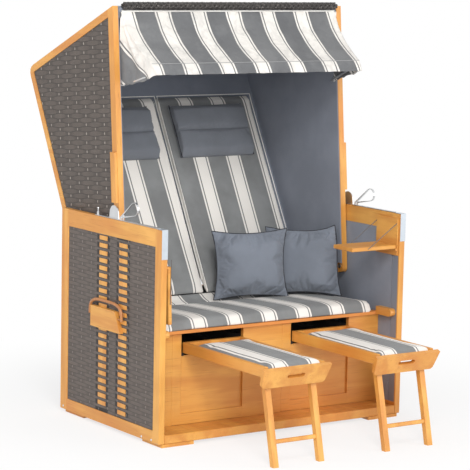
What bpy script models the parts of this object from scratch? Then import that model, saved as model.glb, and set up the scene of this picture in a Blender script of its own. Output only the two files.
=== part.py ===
"""A two-seat hooded beach chair: a woven box on a timber frame, with a hood
that reclines, two footrests that draw out, two folding side tables and an awning.

Metres, +Z up, the front faces -Y.  The model is built about the middle of the
lower box, with the ground at Z = 0.  At the end an empty carries all of it, so
that the origin lies on the ground under the middle of the whole chair.
"""

from math import atan2, cos, degrees, hypot, pi, radians, sin, tan

import bmesh
import bpy
from mathutils import Matrix, Vector

MM = 0.001

# Clearances
FIT = 0.3 * MM
OVERRUN = 20 * MM
MERGE = 0.05 * MM

# The lower box
BOX_WIDTH = 1.160
BOX_DEPTH = 0.754
BOX_TOP = 0.832
FOOT_HEIGHT = 0.013
FRAME_THICK = 0.026
FRONT_POST = 0.047
REAR_POST = 0.055
TOP_RAIL = 0.067
BOTTOM_RAIL = 0.047
EDGE_ROUND = 2.5 * MM
JOINT_STEP = 0.5 * MM
TENON = 12 * MM

# Where the timber of the sides ends, worked out from the values above
SIDE_OUT = BOX_WIDTH / 2
SIDE_IN = SIDE_OUT - FRAME_THICK
FRONT_Y = -BOX_DEPTH / 2
REAR_Y = BOX_DEPTH / 2
OPEN_FRONT = FRONT_Y + FRONT_POST
OPEN_REAR = REAR_Y - REAR_POST
OPEN_TOP = BOX_TOP - TOP_RAIL
OPEN_LOW = FOOT_HEIGHT + BOTTOM_RAIL

# Weave: flat bands woven over upright stakes
BAND_PITCH = 23.5 * MM
BAND_THICK = 1.6 * MM
STAKE_THICK = 4 * MM
WEAVE_INSET = 3 * MM

# Two broad stakes of bare wood on each side, which show as squares between the bands
LADDER_WIDTH = 0.060
LADDER_HEIGHT = 0.019
LADDER_PITCH = 0.0295
LADDER_PROUD = 1 * MM
LADDER_MIDDLES = (("rear", 0.0515, 0.070), ("front", -0.0985, 0.058))


# Lining boards and pivot stiles inside the sides
LINING_THICK = 4 * MM
STILE_WIDTH = 0.070
STILE_THICK = 11 * MM

# Hood pivot
PIVOT_Y = -0.020
PIVOT_Z = 0.575
BOLT_RADIUS = 5 * MM
BOLT_HEAD_RADIUS = 9 * MM
BOLT_HEAD = 4 * MM
WASHER_RADIUS = 13 * MM
RUNNING_FIT = 0.5 * MM

# Sills and floor
SILL_DEPTH = 0.062
SILL_TOP = 0.047
SLAT_WIDTH = 0.058
SLAT_GAP = 0.004
SLAT_THICK = 13 * MM
FLOOR_RAIL_WIDTH = 0.040

# Feet
FOOT_LENGTH_X = 0.145
FOOT_FRONT_DEPTH = 0.140
FOOT_REAR_DEPTH = 0.145
FOOT_REAR_INSET = 0.021
FOOT_SIDE_INSET = 0.014

# Carcass under the seat
CARCASS_SETBACK = 0.125
CARCASS_Y = FRONT_Y + CARCASS_SETBACK
CARCASS_THICK = 18 * MM
OPENING_LOW = 0.318
OPENING_TOP = 0.4065
CARCASS_RAIL = 0.043
SIDE_BOARD = 0.102
STILE_FACE = 0.045
PANEL_RECESS = 9 * MM
PANEL_THICK = 5 * MM
DRAWER_SIDE_GAP = 0.295
DRAWER_CENTRE = SIDE_IN - DRAWER_SIDE_GAP
DRAWER_OPENING = 0.287
DIVIDER_THICK = 12 * MM
CARCASS_REAR = 0.235

# Seat
SEAT_OVERHANG = 12 * MM
SEAT_FRONT_Y = CARCASS_Y - SEAT_OVERHANG
SEAT_REAR_Y = 0.098
SEAT_THICK = 12 * MM
SEAT_FRONT_Z = 0.408
SEAT_SLOPE = 0.052
SEAT_CLEAR = 9 * MM
CUSHION_SIDE_GAP = 0.037
CUSHION_HALF = SIDE_IN - CUSHION_SIDE_GAP
CUSHION_REAR_Y = 0.152
CUSHION_THICK = 0.045
CUSHION_ROUND = 0.020

# Seat rails on the side walls
WALL_RAIL_LOW = 0.411
WALL_RAIL_HEIGHT = 0.032
WALL_RAIL_SETBACK = 0.014
WALL_RAIL_FRONT_Y = FRONT_Y + WALL_RAIL_SETBACK
WALL_RAIL_WIDTH = 0.024

# Rear wall of the box
REAR_WALL_TOP = 0.470
REAR_RAIL_HEIGHT = 0.060
REAR_WALL_THICK = 0.022

# Corner guards, and the lock hardware on the top rails
GUARD_HEIGHT = 0.111
GUARD_THICK = 1.2 * MM
GUARD_DEPTH = 0.036
HARDWARE_X = SIDE_OUT - FRAME_THICK / 2
STRIP_SETBACK = 0.039
STRIP_FRONT_Y = FRONT_Y + STRIP_SETBACK
STRIP_REAR_Y = 0.085
STRIP_WIDTH = 14 * MM
STRIP_THICK = 2.5 * MM
STRIP_HOLE_RADIUS = 2.6 * MM
STRIP_HOLE_PITCH = 0.030
BRACKET_FRONT_Y = -0.045
BRACKET_REAR_Y = 0.027
BRACKET_TOP = 0.885
BRACKET_THICK = 3 * MM
BRACKET_WIDTH = 12 * MM
PIN_Y = 0.112
PIN_TOP = 0.865
PIN_RADIUS = 3 * MM
PIN_HEAD_RADIUS = 5 * MM
PIN_SOCKET_RADIUS = 6 * MM
PIN_SOCKET_HEIGHT = 12 * MM
BOW_REAR_Y = -0.066
BOW_REAR_Z = 0.845
BOW_FRONT_Y = -0.160
BOW_FRONT_Z = 0.886
BOW_RADIUS = 0.026
BOW_STRAP = 2 * MM
BOW_WIDTH = 8 * MM

# Carry blocks and their bails
BLOCK_THICK = 16 * MM
BLOCK_TOP = 0.478
BLOCK_LOW = 0.396
BLOCK_REAR_Y = 0.120
BLOCK_FRONT_TOP_Y = -0.064
BLOCK_FRONT_LOW_Y = -0.104
BAIL_RADIUS = 6 * MM
BAIL_PIVOT_Z = 0.450
BAIL_REAR_Y = 0.132
BAIL_FRONT_Y = -0.108
BAIL_RISE = 0.058
BAIL_X = SIDE_OUT + BLOCK_THICK / 2

# Side tables
BACKING_SETBACK = 9 * MM
BACKING_DEPTH = 0.139
BACKING_FRONT_Y = FRONT_Y + BACKING_SETBACK
BACKING_REAR_Y = BACKING_FRONT_Y + BACKING_DEPTH
LUG_THICK = 6 * MM
TABLE_FRONT_Y = BACKING_FRONT_Y + LUG_THICK
TABLE_REAR_Y = BACKING_REAR_Y - LUG_THICK
TABLE_TOP = 0.705
TABLE_THICK = 16 * MM
TABLE_LENGTH = 0.219
TABLE_PIN_RADIUS = 2.2 * MM
TABLE_PIN_INSET = 2.8 * MM
TABLE_PIN_DROP = 2.5 * MM
TABLE_FOLD = 88.0
STAY_RATIO = 0.356
BACKING_LOW = 0.662
BACKING_TOP = 0.814
BACKING_THICK = 6 * MM
STAY_RADIUS = 1.6 * MM
STAY_TOP_Z = 0.792
STAY_REACH = 0.140

# Hood
HOOD_LEAN = 5.0
HOOD_CLEAR = 5 * MM
HOOD_OUT = SIDE_IN - HOOD_CLEAR
HOOD_BAR_X = 0.024
HOOD_POST = 0.036
HOOD_BAR = 0.029
HOOD_TOP_Z = 1.650
HOOD_LOW_Y = 0.2685
HOOD_LOW_Z = 0.515
ROOF_FALL = 0.278
HOOD_BACK_SLOPE = 0.5245
HOOD_REAR_Z = HOOD_TOP_Z - ROOF_FALL
HOOD_REAR_Y = HOOD_LOW_Y + (HOOD_REAR_Z - HOOD_LOW_Z) * HOOD_BACK_SLOPE
HOOD_FOOT_Z = 0.549
HOOD_FRONT_Y = -0.039
HOOD_CORNER = 0.040
HOOD_LINING = 4 * MM
ROOF_THICK = 6 * MM
ROOF_SETBACK = 1.2 * MM
DOUBLER_LOW = 0.892
DOUBLER_TOP = 1.087
DOUBLER_THICK = 12 * MM
DOUBLER_WIDTH = 0.034
ROLL_RADIUS = 0.015
ROLL_SIDE_GAP = 0.039
ROLL_HALF = HOOD_OUT - ROLL_SIDE_GAP
CROSS_RAIL = 0.024

# Back and neck cushions
BACK_LEAN = 28.5
BACK_FRONT_Y = 0.180
BACK_FRONT_Z = 0.453
BACK_TOP_GAP = 0.122
BACK_TOP_Z = HOOD_REAR_Z - BACK_TOP_GAP
BACK_WALL = 0.010
BACK_SIDE_GAP = 0.063
BACK_HALF = HOOD_OUT - BACK_SIDE_GAP
NECK_IN = 0.043
NECK_SIDE_GAP = 0.081
NECK_OUT = BACK_HALF - NECK_SIDE_GAP
NECK_TOP_GAP = 0.045
NECK_HEIGHT = 0.215
NECK_TOP_Z = BACK_TOP_Z - NECK_TOP_GAP
NECK_LOW_Z = NECK_TOP_Z - NECK_HEIGHT
NECK_THICK = 0.045
SOFT_ROUND = 0.018

# Awning
AWNING_CHEEK_Y = 0.028
AWNING_TOP_Z = 1.626
AWNING_FRONT_Y = -0.168
AWNING_DROP = 0.248
AWNING_CHEEK_DROP = 0.315
AWNING_FRONT_Z = HOOD_TOP_Z - AWNING_DROP
AWNING_BACK_Z = HOOD_TOP_Z - AWNING_CHEEK_DROP
AWNING_SIDE_GAP = 0.034
AWNING_TAPER = 0.047
AWNING_HALF_TOP = HOOD_OUT - AWNING_SIDE_GAP
AWNING_HALF_FRONT = AWNING_HALF_TOP - AWNING_TAPER
AWNING_THICK = 2.4 * MM
AWNING_SAG = 0.020
STEEL_BOW_RADIUS = 4 * MM
STEEL_BOW_Y = 0.045
STEEL_BOW_DROP = 0.305
STEEL_BOW_Z = HOOD_TOP_Z - STEEL_BOW_DROP
STEEL_BOW_SHARE = 0.92
STEEL_BOW_GAP = 2 * MM

# Footrests
TRAY_HALF = 0.137
TRAY_RAIL = 0.017
TRAY_TOP = 0.371
TRAY_LOW = 0.329
TRAY_HELD = 7 * MM
TRAY_LENGTH = 0.555
TRAY_REAR_Y = CARCASS_Y + TRAY_HELD
TRAY_FRONT_Y = TRAY_REAR_Y - TRAY_LENGTH
FRONT_BOARD_LAP = 10 * MM
FRONT_BOARD_Y = TRAY_FRONT_Y + FRONT_BOARD_LAP
FRONT_BOARD_TOP_HALF = 0.153
FRONT_BOARD_LOW_HALF = 0.143
FRONT_BOARD_TOP = 0.363
FRONT_BOARD_LOW = 0.291
FRONT_BOARD_LEAN = 25.0
FRONT_BOARD_THICK = 16 * MM
SLOT_LENGTH = 0.080
SLOT_HEIGHT = 0.018
PAD_TOP = 0.3665
PAD_THICK = 10 * MM
PAD_REAR_GAP = 0.055
PAD_FRONT_GAP = 4 * MM
PAD_REAR_Y = TRAY_REAR_Y - PAD_REAR_GAP
PAD_FRONT_Y = TRAY_FRONT_Y + PAD_FRONT_GAP
TRAY_SLAT_THICK = 4.5 * MM
LEG_X = 0.024
LEG_Y = 0.022
LEG_OFFSET = 0.1035
LEG_SETBACK = 0.050
LEG_PIVOT_Y = TRAY_FRONT_Y + LEG_SETBACK
LEG_PIVOT_Z = 0.340
LEG_SPLAY = 13.0
RUNG_Z = 0.090
RUNG_HEIGHT = 0.016
AXLE_RADIUS = 4 * MM

# Throw pillows
PILLOW_WIDTH = 0.325
PILLOW_HEIGHT = 0.285
PILLOW_THICK = 0.076
PILLOW_LEAN = 6.0
PILLOW_CLEAR = 0.6 * MM
PILLOW_SIDE_GAP = 0.129
PILLOW_SPACING = 0.232
LEFT_PILLOW = (CUSHION_HALF - PILLOW_SIDE_GAP - PILLOW_SPACING, 0.093)
LEFT_PILLOW_TURN = 16.0
RIGHT_PILLOW = (CUSHION_HALF - PILLOW_SIDE_GAP, 0.049)
RIGHT_PILLOW_TURN = 47.0

# Colours, roughness and metallic value of each finish
FINISHES = {
    "wood": ((0.80, 0.42, 0.12), 0.45, 0.0),
    "weave": ((0.045, 0.040, 0.036), 0.55, 0.0),
    "ladder": ((0.60, 0.32, 0.13), 0.50, 0.0),
    "slate_fabric": ((0.13, 0.145, 0.17), 0.90, 0.0),
    "striped_fabric": ((0.33, 0.33, 0.32), 0.90, 0.0),
    "steel": ((0.62, 0.62, 0.62), 0.30, 1.0),
}

parts = bpy.data.collections.new("beach_chair")
cutters = bpy.data.collections.new("cutters")
carried = []


def clear_scene():
    """Start from an empty scene."""
    for old in list(bpy.data.objects):
        bpy.data.objects.remove(old, do_unlink=True)
    for group in (parts, cutters):
        bpy.context.scene.collection.children.link(group)


def finish(name):
    """The Principled material of one finish, made once."""
    found = bpy.data.materials.get(name)
    if found:
        return found
    colour, roughness, metallic = FINISHES[name]
    material = bpy.data.materials.new(name)
    material.use_nodes = True
    shader = material.node_tree.nodes["Principled BSDF"]
    shader.inputs["Base Color"].default_value = (*colour, 1.0)
    shader.inputs["Roughness"].default_value = roughness
    shader.inputs["Metallic"].default_value = metallic
    return material


def keep(obj, finish_name, origin=(0, 0, 0)):
    """Put a finished object in the chair, with its origin on its own axis."""
    for group in list(obj.users_collection):
        group.objects.unlink(obj)
    parts.objects.link(obj)
    obj.data.materials.clear()
    obj.data.materials.append(finish(finish_name))
    obj.data.transform(Matrix.Translation(-Vector(origin)))
    obj.location = origin
    carried.append(obj)
    return obj


def from_bmesh(name, shape, finish_name, origin=(0, 0, 0), fused=False):
    """Turn a bmesh into a kept object, with its loose pieces joined if they are glued."""
    rest = split_off_rest(shape) if fused else None
    mesh = bpy.data.meshes.new(name)
    shape.to_mesh(mesh)
    shape.free()
    obj = bpy.data.objects.new(name, mesh)
    parts.objects.link(obj)
    keep(obj, finish_name, origin)
    if rest:
        join = punch(obj, rest, f"{name}_pieces")
        join.operation = "UNION"
        join.use_self = True
    return obj


def split_off_rest(shape):
    """Leave the first loose piece in a bmesh, and return the others in a new one."""
    shape.verts.ensure_lookup_table()
    first = {shape.verts[0]}
    edge = [shape.verts[0]]
    while edge:
        found = {e.other_vert(v) for v in edge for e in v.link_edges} - first
        first |= found
        edge = list(found)
    rest = shape.copy()
    rest.verts.ensure_lookup_table()
    shape.verts.index_update()
    mine = {v.index for v in first}
    bmesh.ops.delete(rest, geom=[v for i, v in enumerate(rest.verts) if i in mine], context="VERTS")
    bmesh.ops.delete(shape, geom=[v for v in shape.verts if v not in first], context="VERTS")
    return rest


def add_block(shape, low, high, edge=0.0, turn=None, about=(0, 0, 0)):
    """Add a box between two corners, with its edges taken off, turned about a point."""
    size = [high[i] - low[i] for i in range(3)]
    middle = [(high[i] + low[i]) / 2 for i in range(3)]
    place = Matrix.Translation(middle) @ Matrix.Diagonal((*size, 1.0))
    made = bmesh.ops.create_cube(shape, size=1.0, matrix=place)["verts"]
    if edge:
        edges = list({e for v in made for e in v.link_edges})
        cut = bmesh.ops.bevel(shape, geom=edges, offset=edge, segments=1, affect="EDGES")
        made = cut["verts"]
    if turn is not None:
        bmesh.ops.rotate(shape, verts=made, cent=about, matrix=Matrix.Rotation(turn, 3, "X"))
    return made


def add_rod(shape, start, end, radius, sides=12):
    """Add a round bar from one point to another."""
    start, end = Vector(start), Vector(end)
    along = end - start
    turn = along.to_track_quat("Z", "Y").to_matrix().to_4x4()
    place = Matrix.Translation((start + end) / 2) @ turn
    return bmesh.ops.create_cone(shape, cap_ends=True, segments=sides, radius1=radius,
                                 radius2=radius, depth=along.length, matrix=place)["verts"]


def add_slab(shape, outline, low, high, axis=0):
    """Add a plate from an outline of points, between two values of one axis.

    The outline's points are (Y, Z) for a plate across X, and (X, Z) across Y.
    """
    near = []
    for a, b in outline:
        place = [a, b]
        place.insert(axis, low)
        near.append(shape.verts.new(place))
    face = shape.faces.new(near)
    grown = bmesh.ops.extrude_face_region(shape, geom=[face])["geom"]
    far = [g for g in grown if isinstance(g, bmesh.types.BMVert)]
    step = Vector((0, 0, 0))
    step[axis] = high - low
    bmesh.ops.translate(shape, verts=far, vec=step)
    bmesh.ops.recalc_face_normals(shape, faces=list(set(
        f for v in near + far for f in v.link_faces)))
    return near + far


def both_sides(builder):
    """Call a builder for the left side (-1) and the right side (+1)."""
    for side, word in ((-1, "left"), (1, "right")):
        builder(side, word)


def span(side, inner, outer):
    """Low and high X of a stretch that lies between two distances from the middle."""
    return (inner, outer) if side > 0 else (-outer, -inner)


def side_block(shape, side, inner, outer, low, high, edge=0.0):
    """A box on one side, from (Y, Z) low to (Y, Z) high."""
    x0, x1 = span(side, inner, outer)
    return add_block(shape, (x0, low[0], low[1]), (x1, high[0], high[1]), edge)


def punch(target, shape, name):
    """Cut a bmesh out of an object with an exact Boolean."""
    mesh = bpy.data.meshes.new(name)
    shape.to_mesh(mesh)
    shape.free()
    cutter = bpy.data.objects.new(name, mesh)
    cutters.objects.link(cutter)
    cutter.hide_render = True
    cutter.display_type = "WIRE"
    cutter.location = (0, 0, 0)
    cut = target.modifiers.new(name, "BOOLEAN")
    cut.operation = "DIFFERENCE"
    cut.object = cutter
    carried.append(cutter)
    return cut


def soften(obj, width, segments=2):
    """Round the edges of a soft or turned piece."""
    bevel = obj.modifiers.new("soft_edges", "BEVEL")
    bevel.width = width
    bevel.segments = segments
    bevel.limit_method = "ANGLE"
    return bevel


def side_frame(side, word):
    """Two posts, two rails, two feet and the pivot's stile, glued into one frame."""
    shape = bmesh.new()
    for y0, y1 in ((FRONT_Y, OPEN_FRONT), (OPEN_REAR, REAR_Y)):
        side_block(shape, side, SIDE_IN, SIDE_OUT, (y0, FOOT_HEIGHT), (y1, BOX_TOP), EDGE_ROUND)
    inner, outer = SIDE_IN + JOINT_STEP, SIDE_OUT - JOINT_STEP
    rails = (
        ((OPEN_FRONT - TENON, OPEN_TOP), (OPEN_REAR + TENON, BOX_TOP - JOINT_STEP)),
        ((OPEN_FRONT - TENON, FOOT_HEIGHT + JOINT_STEP), (OPEN_REAR + TENON, OPEN_LOW)),
    )
    for low, high in rails:
        side_block(shape, side, inner, outer, low, high)
    stile_in = SIDE_IN + LINING_THICK + FIT
    side_block(shape, side, stile_in, stile_in + STILE_THICK,
               (PIVOT_Y - STILE_WIDTH / 2, OPEN_LOW - TENON),
               (PIVOT_Y + STILE_WIDTH / 2, OPEN_TOP + TENON))
    boss = (HOOD_OUT + FIT, stile_in + TENON / 2)
    x0, x1 = span(side, *boss)
    add_rod(shape, (x0, PIVOT_Y, PIVOT_Z), (x1, PIVOT_Y, PIVOT_Z), WASHER_RADIUS, 16)
    foot_out = SIDE_OUT - FOOT_SIDE_INSET
    feet = ((FRONT_Y + JOINT_STEP, FRONT_Y + FOOT_FRONT_DEPTH),
            (REAR_Y - FOOT_REAR_INSET - FOOT_REAR_DEPTH, REAR_Y - FOOT_REAR_INSET))
    for y0, y1 in feet:
        side_block(shape, side, foot_out - FOOT_LENGTH_X, foot_out, (y0, 0),
                   (y1, FOOT_HEIGHT - FIT))
        side_block(shape, side, SIDE_IN + 2 * JOINT_STEP, foot_out - JOINT_STEP, (y0 + TENON, FIT),
                   (y1 - TENON, FOOT_HEIGHT + 2 * JOINT_STEP))
    frame = from_bmesh(f"side_frame_{word}", shape, "wood", fused=True)
    hole = bmesh.new()
    bolt_hole(hole, side, BOLT_RADIUS + FIT)
    punch(frame, hole, f"stile_hole_{word}")
    pin_hole = bmesh.new()
    depth = PIN_SOCKET_HEIGHT + BOLT_HEAD
    add_rod(pin_hole, (side * HARDWARE_X, PIN_Y, BOX_TOP - depth),
            (side * HARDWARE_X, PIN_Y, BOX_TOP + OVERRUN), PIN_RADIUS + FIT)
    punch(frame, pin_hole, f"pin_hole_{word}")


def bolt_hole(shape, side, radius):
    """A round cutter along the hood's pivot on one side."""
    x0, x1 = span(side, HOOD_OUT - HOOD_BAR_X - OVERRUN, SIDE_IN + LINING_THICK + STILE_THICK - FIT)
    add_rod(shape, (x0, PIVOT_Y, PIVOT_Z), (x1, PIVOT_Y, PIVOT_Z), radius)


def steps(low, high, pitch):
    """Even places at about one pitch between two ends, and the gap between them."""
    count = max(1, round((high - low) / pitch))
    gap = (high - low) / count
    return [low + gap * (i + 0.5) for i in range(count)], gap


def band_profile(low, high, outer, inner):
    """Cross-section of a woven panel: rounded bands on both faces, one above the other."""
    places, gap = steps(low, high, BAND_PITCH)
    flank = gap * 0.22
    faces = []
    for skin, sign in ((outer, 1), (inner, -1)):
        base = skin - sign * BAND_THICK
        points = []
        for z in places:
            points += [(base, z - gap / 2), (skin, z - gap / 2 + flank), (skin, z + gap / 2 - flank)]
        points.append((base, places[-1] + gap / 2))
        faces.append(points)
    return faces[0] + faces[1][::-1]


def side_weave(side, word):
    """The woven panel of one side, with its bands on both faces."""
    shape = bmesh.new()
    outer = SIDE_OUT - WEAVE_INSET
    inner = outer - STAKE_THICK - 2 * BAND_THICK
    profile = band_profile(OPEN_LOW + FIT, OPEN_TOP - FIT, side * outer, side * inner)
    if side < 0:
        profile = band_profile(OPEN_LOW + FIT, OPEN_TOP - FIT, -inner, -outer)
    add_slab(shape, profile, OPEN_FRONT + FIT, OPEN_REAR - FIT, axis=1)
    for _, middle, low in LADDER_MIDDLES:
        y0, y1 = middle - LADDER_WIDTH / 2, middle + LADDER_WIDTH / 2
        for z in steps(low, OPEN_TOP - FIT, LADDER_PITCH)[0]:
            if BLOCK_LOW - LADDER_HEIGHT < z < BLOCK_TOP + LADDER_HEIGHT:
                continue
            side_block(shape, side, outer - BAND_THICK, outer + LADDER_PROUD,
                       (y0, z - LADDER_HEIGHT / 2), (y1, z + LADDER_HEIGHT / 2))
    from_bmesh(f"side_weave_{word}", shape, "weave", fused=True)


def side_lining(side, word):
    """A fabric-covered board in one side's opening, flush with its inner side."""
    shape = bmesh.new()
    side_block(shape, side, SIDE_IN, SIDE_IN + LINING_THICK,
               (OPEN_FRONT + FIT, OPEN_LOW + FIT), (OPEN_REAR - FIT, OPEN_TOP - FIT))
    lining = from_bmesh(f"side_lining_{word}", shape, "slate_fabric")
    hole = bmesh.new()
    x0, x1 = span(side, HOOD_OUT, SIDE_OUT)
    add_rod(hole, (x0, PIVOT_Y, PIVOT_Z), (x1, PIVOT_Y, PIVOT_Z), WASHER_RADIUS + FIT, 16)
    punch(lining, hole, f"lining_hole_{word}")


def pivot_bolt(side, word):
    """The headed bolt on which one side of the hood turns."""
    head_out = HOOD_OUT - HOOD_BAR_X - FIT
    tip = SIDE_IN + LINING_THICK + STILE_THICK - 2 * FIT
    shape = bmesh.new()
    bolt = add_turned(((0, -BOLT_HEAD), (BOLT_HEAD_RADIUS, -BOLT_HEAD / 2), (BOLT_HEAD_RADIUS, 0),
                       (BOLT_RADIUS, 0), (BOLT_RADIUS, tip - head_out), (0, tip - head_out)))
    place = Matrix.Translation((side * head_out, PIVOT_Y, PIVOT_Z)) @ Matrix.Rotation(
        side * pi / 2, 4, "Y")
    join_mesh(shape, bolt, place)
    from_bmesh(f"pivot_bolt_{word}", shape, "steel")


def add_turned(profile, closed=False, turns=16):
    """Turn a profile of (radius, height) points about Z with a Screw modifier."""
    mesh = bpy.data.meshes.new("profile")
    last = len(profile) - 1
    edges = [(i, i + 1) for i in range(last)] + ([(last, 0)] if closed else [])
    mesh.from_pydata([(r, 0, z) for r, z in profile], edges, [])
    obj = bpy.data.objects.new("profile", mesh)
    bpy.context.scene.collection.objects.link(obj)
    screw = obj.modifiers.new("turn", "SCREW")
    screw.steps = turns
    screw.render_steps = turns
    screw.use_merge_vertices = True
    screw.merge_threshold = MERGE
    screw.use_normal_calculate = True
    turned = bpy.data.meshes.new_from_object(
        obj.evaluated_get(bpy.context.evaluated_depsgraph_get()))
    bpy.data.objects.remove(obj, do_unlink=True)
    return turned


def join_mesh(shape, mesh, place):
    """Add a placed mesh to a bmesh, closed and facing outwards."""
    piece = bmesh.new()
    piece.from_mesh(mesh)
    bmesh.ops.remove_doubles(piece, verts=piece.verts, dist=MERGE)
    bmesh.ops.transform(piece, matrix=place, verts=piece.verts)
    bmesh.ops.recalc_face_normals(piece, faces=piece.faces)
    placed = bpy.data.meshes.new("placed")
    piece.to_mesh(placed)
    piece.free()
    shape.from_mesh(placed)
    bpy.data.meshes.remove(placed)
    bpy.data.meshes.remove(mesh)


def slatted_floor():
    """Front and rear sills, three rails between them, and slats across the rails."""
    shape = bmesh.new()
    inner = SIDE_IN - FIT
    for y0 in (FRONT_Y, REAR_Y - SILL_DEPTH):
        add_block(shape, (-inner, y0, FOOT_HEIGHT), (inner, y0 + SILL_DEPTH, SILL_TOP), EDGE_ROUND)
    rail_top = SILL_TOP - SLAT_THICK + JOINT_STEP
    rail_low = FOOT_HEIGHT + JOINT_STEP
    start, end = FRONT_Y + SILL_DEPTH - TENON, REAR_Y - SILL_DEPTH + TENON
    half = FLOOR_RAIL_WIDTH / 2
    for x in (-inner + half + JOINT_STEP, 0, inner - half - JOINT_STEP):
        add_block(shape, (x - half, start, rail_low), (x + half, end, rail_top))
    places, gap = steps(FRONT_Y + SILL_DEPTH + SLAT_GAP / 2, REAR_Y - SILL_DEPTH - SLAT_GAP / 2,
                        SLAT_WIDTH + SLAT_GAP)
    half = (gap - SLAT_GAP) / 2
    for y in places:
        add_block(shape, (-inner, y - half, SILL_TOP - SLAT_THICK), (inner, y + half, SILL_TOP))
    from_bmesh("slatted_floor", shape, "wood", fused=True)


def drawer_edges(side):
    """The X of the left and right edges of one footrest's opening."""
    middle = side * DRAWER_CENTRE
    return middle - DRAWER_OPENING / 2, middle + DRAWER_OPENING / 2


def carcass_front():
    """Boards, stiles, rails and recessed panels round the two drawer openings."""
    shape = bmesh.new()
    y0, y1 = CARCASS_Y, CARCASS_Y + CARCASS_THICK
    low = SILL_TOP + FIT
    inner = SIDE_IN - FIT
    left_open, right_open = drawer_edges(-1), drawer_edges(1)
    stiles = ((left_open[0] - STILE_FACE, left_open[0]), (right_open[0] - STILE_FACE, right_open[0]))
    for x0, x1 in stiles:
        add_block(shape, (x0, y0, low), (x1, y1, OPENING_TOP), EDGE_ROUND)
    boards = ((-inner, stiles[0][0] + JOINT_STEP), (left_open[1], stiles[1][0] + JOINT_STEP),
              (right_open[1], inner))
    for x0, x1 in boards:
        add_block(shape, (x0, y0 + JOINT_STEP, low + JOINT_STEP),
                  (x1, y1 - JOINT_STEP, OPENING_TOP - JOINT_STEP))
    for x0, x1 in (left_open, right_open):
        add_block(shape, (x0 - TENON / 2, y0 + 2 * JOINT_STEP, low + 2 * JOINT_STEP),
                  (x1 + TENON / 2, y1 - 2 * JOINT_STEP, low + CARCASS_RAIL))
        add_block(shape, (x0 - TENON / 2, y0 + PANEL_RECESS, low + CARCASS_RAIL / 2),
                  (x1 + TENON / 2, y0 + PANEL_RECESS + PANEL_THICK, OPENING_LOW))
    from_bmesh("carcass_front", shape, "wood", fused=True)


def drawer_case(side, word):
    """Two walls with ledges, joined by a rear board, in which one footrest slides."""
    shape = bmesh.new()
    y0 = CARCASS_Y + CARCASS_THICK + FIT
    ledge_top = TRAY_LOW - FIT
    top = seat_height(CARCASS_REAR) - SEAT_CLEAR
    x0, x1 = drawer_edges(side)
    for edge, way in ((x0, -1), (x1, 1)):
        wall = sorted((edge, edge + way * DIVIDER_THICK))
        ledge = sorted((edge + way * JOINT_STEP, edge - way * DIVIDER_THICK))
        add_block(shape, (wall[0], y0, SILL_TOP + FIT), (wall[1], CARCASS_REAR, top))
        add_block(shape, (ledge[0], y0 + JOINT_STEP, ledge_top - DIVIDER_THICK),
                  (ledge[1], CARCASS_REAR - JOINT_STEP, ledge_top))
        nose = sorted((edge - way * FIT, edge - way * (DIVIDER_THICK - JOINT_STEP)))
        add_block(shape, (nose[0], CARCASS_Y + EDGE_ROUND, OPENING_LOW + FIT),
                  (nose[1], y0 + TENON, ledge_top - JOINT_STEP))
    add_block(shape, (x0 - JOINT_STEP, CARCASS_REAR - DIVIDER_THICK, SILL_TOP + FIT + JOINT_STEP),
              (x1 + JOINT_STEP, CARCASS_REAR - JOINT_STEP, OPENING_LOW - DIVIDER_THICK))
    from_bmesh(f"drawer_case_{word}", shape, "wood", fused=True)


def seat_height(y):
    """Height of the seat board's underside, which falls towards the back."""
    return SEAT_FRONT_Z - (y - SEAT_FRONT_Y) * SEAT_SLOPE


def seat_board():
    """The board under the cushion, tilted back."""
    shape = bmesh.new()
    outline = [(y, seat_height(y) + lift) for y, lift in (
        (SEAT_FRONT_Y, 0), (SEAT_REAR_Y, 0), (SEAT_REAR_Y, SEAT_THICK), (SEAT_FRONT_Y, SEAT_THICK))]
    add_slab(shape, outline, -SIDE_IN + FIT, SIDE_IN - FIT)
    from_bmesh("seat_board", shape, "wood")


def seat_cushion():
    """The long cushion, with a rolled front and an undercut back."""
    shape = bmesh.new()
    base = SEAT_THICK + FIT
    front = [(SEAT_FRONT_Y + CUSHION_ROUND * (1 - cos(a)), CUSHION_ROUND * (1 - sin(a)))
             for a in (0, pi / 4, pi / 2)]
    outline = [(y, seat_height(y) + base + z) for y, z in reversed(front)]
    outline = [(y, z) for y, z in outline]
    outline += [(y, seat_height(y) + base + CUSHION_THICK - z) for y, z in front]
    outline.append((CUSHION_REAR_Y, seat_height(CUSHION_REAR_Y) + base + CUSHION_THICK))
    under = SEAT_REAR_Y
    outline.append((CUSHION_REAR_Y, seat_height(CUSHION_REAR_Y) + base + CUSHION_THICK / 2))
    outline.append((under, seat_height(under) + base))
    add_slab(shape, outline, -CUSHION_HALF, CUSHION_HALF)
    from_bmesh("seat_cushion", shape, "striped_fabric")


def seat_rail(side, word):
    """A rail on the side wall at the height of the seat, with a round front end."""
    shape = bmesh.new()
    half = WALL_RAIL_HEIGHT / 2
    middle = WALL_RAIL_LOW + half
    rear = SEAT_FRONT_Y - FIT
    arc = [(WALL_RAIL_FRONT_Y + half - half * sin(a), middle + half * cos(a))
           for a in [pi * i / 6 for i in range(7)]]
    outline = [(rear, middle + half)] + arc + [(rear, middle - half)]
    add_slab(shape, outline, *span(side, SIDE_IN - FIT - WALL_RAIL_WIDTH, SIDE_IN - FIT))
    from_bmesh(f"seat_rail_{word}", shape, "wood")


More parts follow.
